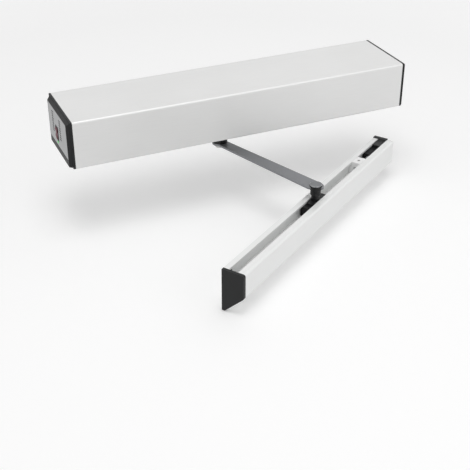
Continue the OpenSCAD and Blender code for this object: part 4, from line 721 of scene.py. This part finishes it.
acetal = material_of(
    "Hub and sleeve, black acetal", skin, {"Grain": 2400.0, "Handling": 60.0},
    pale=(0.012, 0.012, 0.013), deep=(0.007, 0.007, 0.0075), rough=(0.3, 0.44),
    bump=0.08, depth=0.00005, scuffed_and_highlit=(0.06, 0.06, 0.063), rub=0.5, specular=0.25)
eased("spindle_hub", "arm_body", acetal, width=0.0004, steps=3)

# The arm
# A flat tapered bar of drop-forged steel, zinc-nickel plated and sealed in dark grey, slightly brighter
# along its edges. It is squared on the spindle and held there by a washer and a screw.

arm_finish = material_of(
    "Arm, dark zinc-nickel", sheen, {"Marks": 700.0, "Patches": 16.0},
    pale=(0.29, 0.295, 0.31), deep=(0.21, 0.214, 0.225), rough=(0.34, 0.48), metal=0.7,
    bump=0.12, depth=0.0001, scuffed_and_highlit=(0.30, 0.305, 0.315), rub=0.6)
eased("arm", "arm_body", arm_finish, width=0.0005, steps=3)
eased("arm_washer", "arm_body", screw_steel, width=0.0002)
eased("arm_screw", "arm_body", screw_steel, width=0.0003)

# The arm's pin
# A headed steel pin, ground and plated, in a stepped and ribbed black acetal bush in the arm's hook.
# An open steel ring in a groove keeps it in the slider.

# The pale edge colour, laid on at full amount, is a painted highlight on the rim of the pin's head, in
# patches.
pin_plating_painted_highlight = material_of(
    "Pin, ground and plated, painted rim highlight", sheen, {"Marks": 1500.0, "Patches": 60.0},
    pale=(0.24, 0.245, 0.255), deep=(0.17, 0.175, 0.185), rough=(0.28, 0.4), metal=0.7,
    bump=0.08, depth=0.00005, scuffed_and_highlit=(0.75, 0.76, 0.77), rub=1.0)
eased("arm_pin", "arm_body", pin_plating_painted_highlight, width=0.0003, steps=3)
eased("pin_sleeve", "arm_body", acetal, width=0.0003)
dress(screw_steel, "pin_clip")

# The slider block
# Black self-lubricating nylon, milled with round ends.
# Its neck runs in the channel's slot and its shoulders under the lips.

slider_nylon = material_of(
    "Slider, black nylon", skin, {"Grain": 1600.0, "Handling": 45.0},
    pale=(0.012, 0.012, 0.013), deep=(0.007, 0.007, 0.008), rough=(0.36, 0.5),
    bump=0.15, depth=0.0001, scuffed_and_highlit=(0.05, 0.05, 0.052), rub=0.5, specular=0.25)
eased("slider_block", "slider_body", slider_nylon, width=0.0005)

# The slide channel
# Extruded aluminium, clear anodised, with two lips over a wide track and a closed hollow below.
# It is screwed on through its back.

# Its colour is paler than the cover's, though both are the same anodising: painted light, standing in for the
# brighter light on the lips and face.
channel_anodising_painted_light = material_of(
    "Channel, satin anodised, with painted light", grain, {"Lines": 2400.0, "Stretch": 3.0, "Clouds": 12.0},
    pale=(0.91, 0.915, 0.91), deep=(0.85, 0.855, 0.85), rough=(0.38, 0.5), metal=0.2,
    bump=0.04, depth=0.00003, scuffed_and_highlit=(0.93, 0.93, 0.92), rub=0.8)
eased("channel", "channel_body", channel_anodising_painted_light, width=0.0004)

# The channel's end caps
# Moulded in black glass-filled nylon and plugged into the hollow and the track. The hinge-end cap carries the
# seat of the end stop's rod. Its plate is a little smaller than the channel, whose wall ends stay bright, and
# its flat hood laps over the end of the back lip, up to the slot's front edge.

channel_cap = material_of(
    "Channel caps, black nylon", skin, {"Grain": 1500.0, "Handling": 40.0},
    pale=(0.016, 0.0165, 0.0175), deep=(0.010, 0.0105, 0.011), rough=(0.4, 0.55),
    bump=0.2, depth=0.0001, scuffed_and_highlit=(0.06, 0.06, 0.062), rub=0.6, specular=0.25)
eased("channel_free_cap", "channel_body", channel_cap, width=0.0005, steps=3)
hinge_cap = eased(
    "channel_hinge_cap", "channel_body", channel_cap, width=0.0005, steps=3)
joints = {joint["name"]: joint for joint in frame["record"]["behaviour"]["joints"]}
along = Vector(joints["channel_slide"]["axis"])
across = Vector((-along.y, along.x, 0))
upwards = Vector((0, 0, 1))
pin_top = Vector(joints["slider_pivot"]["pos_m"])


def reach_of(node, direction):
    """How far a solid reaches from the pin in one direction."""
    return max((vert.co - pin_top).dot(direction) for vert in frame["nodes"][node].data.vertices)


plate_inset = 0.0013
plate_margin = 0.0002
plate_start = reach_of("channel", along) - plate_margin
plate = [vert for vert in hinge_cap.data.vertices if (vert.co - pin_top).dot(along) > plate_start]
for direction in (across, upwards):
    places = [vert.co.dot(direction) for vert in plate]
    middle = (max(places) + min(places)) / 2
    half = (max(places) - min(places)) / 2
    for vert, place in zip(plate, places):
        vert.co -= direction * (place - middle) * plate_inset / half
hood_length = 0.0075
hood_t = 0.0008
hood_edge = 0.0002
hood_front = -0.0075
hood_depth = reach_of("channel_hinge_cap", across) - hood_front
hood_end = reach_of("channel_hinge_cap", along)
hood_shape = bmesh.new()
bmesh.ops.create_cube(hood_shape, size=1.0)
for vert in hood_shape.verts:
    x, y, z = vert.co + Vector((0.5, 0.5, 0.5))
    vert.co = pin_top + along * (hood_end - hood_length * x)
    vert.co += across * (hood_front + hood_depth * y) + upwards * hood_t * z
bmesh.ops.bevel(
    hood_shape, geom=hood_shape.edges[:], offset=hood_edge, segments=2, profile=0.5, affect="EDGES")
bmesh.ops.recalc_face_normals(hood_shape, faces=hood_shape.faces)
hood = placed("hinge_cap_hood", mesh_of("hinge_cap_hood", hood_shape))
dress(channel_cap, hood)
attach(hood, "channel_body")

# The end stop
# A machined aluminium block level with the lips, on a steel rod that plugs into the hinge-end cap's seat.
# A grub screw in its top clamps it there, and a rubber ring lies between the block and the cap.

machined_aluminium = material_of(
    "Stop block, machined aluminium", sheen, {"Marks": 1500.0, "Patches": 80.0},
    pale=(0.97, 0.97, 0.97), deep=(0.93, 0.93, 0.93), rough=(0.3, 0.42), metal=0.1,
    bump=0.06, depth=0.00005, scuffed_and_highlit=(0.96, 0.96, 0.96), rub=0.6)
eased("stop_block", "channel_body", machined_aluminium, width=0.0003)
eased("stop_rod", "channel_body", ground_steel, width=0.0003)
eased("stop_ring", "channel_body", rubber, width=0.0004)
dress(screw_steel, "stop_screw")

# Floor, light and camera
# A plain white paper floor lies just under the channel and fades out to white, so that no horizon shows.
# Two soft square lamps and an even white surround light the operator.


def seen_level(tree, hidden, seen, target):
    """Sets a strength for camera, glossy and transmission rays, and another for the light on the object."""
    rays = tree.nodes.new("ShaderNodeLightPath").outputs
    either = add(tree, "ShaderNodeMath", {
        0: rays["Is Camera Ray"], 1: rays["Is Glossy Ray"]}, operation="MAXIMUM")
    any_ray = add(tree, "ShaderNodeMath", {
        0: either.outputs[0], 1: rays["Is Transmission Ray"]}, operation="MAXIMUM")
    level = add(tree, "ShaderNodeMapRange", {"Value": any_ray.outputs[0], "To Min": hidden, "To Max": seen})
    tree.links.new(level.outputs["Result"], target)


floor_half = 6
floor_gap = 0.001
floor_mesh = bpy.data.meshes.new("floor")
floor_corners = [(floor_half * x, floor_half * y, 0) for x, y in ((-1, -1), (1, -1), (1, 1), (-1, 1))]
floor_mesh.from_pydata(floor_corners, [], [(0, 1, 2, 3)])
floor = placed("floor", floor_mesh)
floor.location.z = solid_box[0][2] - floor_gap
floor_paper = bpy.data.materials.new("Floor, white paper")
floor_paper.use_nodes = True
paper = floor_paper.node_tree
rough_paper = paper.nodes["Principled BSDF"].inputs
rough_paper["Base Color"].default_value = (0.9, 0.9, 0.9, 1)
rough_paper["Roughness"].default_value = 0.9
rough_paper["Emission Color"].default_value = (1, 1, 1, 1)
floor_place = paper.nodes.new("ShaderNodeTexCoord").outputs["Object"]
floor_distance = add(paper, "ShaderNodeVectorMath", {0: floor_place}, operation="LENGTH")
floor_fade = add(paper, "ShaderNodeMapRange", {
    "Value": floor_distance.outputs["Value"],
    "From Min": 0.8,
    "From Max": 3.5,
    "To Min": 0.17,
    "To Max": 0.55})
seen_level(paper, 0.0, floor_fade.outputs["Result"], rough_paper["Emission Strength"])
floor.data.materials.append(floor_paper)

world = bpy.data.worlds.new("Studio")
bpy.context.scene.world = world
world.use_nodes = True
surround = world.node_tree.nodes["Background"].inputs
surround["Color"].default_value = (1, 1, 1, 1)
light_on_object = 0.55
plain_white = 1.0
seen_level(world.node_tree, light_on_object, plain_white, surround["Strength"])


def soft_light(name, place, power):
    """A square diffuser that faces the middle of the object."""
    aim = Vector((0, -0.15, 0))
    data = bpy.data.lights.new(name, "AREA")
    data.shape = "SQUARE"
    data.size = 1.6
    data.energy = power
    lamp = placed(name, data)
    lamp.location = place
    lamp.rotation_euler = (aim - Vector(place)).to_track_quat("-Z", "Y").to_euler()


soft_light("Key", (-0.3, -0.7, 2.6), 24.5)
soft_light("Fill", (1.3, -1.9, 1.1), 6)

picture_width = 470
focal_length_in_pixels = 997.33
downward_tilt = 0.55263
turn_to_the_right = 0.41651
photo_camera = bpy.data.cameras.new("Camera")
photo_camera.sensor_width = 36
photo_camera.lens = photo_camera.sensor_width * focal_length_in_pixels / picture_width
camera = placed("Camera", photo_camera)
camera.location = (-0.59582, -1.41815, 0.65879)
camera.rotation_euler = (math.pi / 2 - downward_tilt, 0, -turn_to_the_right)
bpy.context.scene.camera = camera
bpy.context.scene.view_settings.view_transform = "Standard"
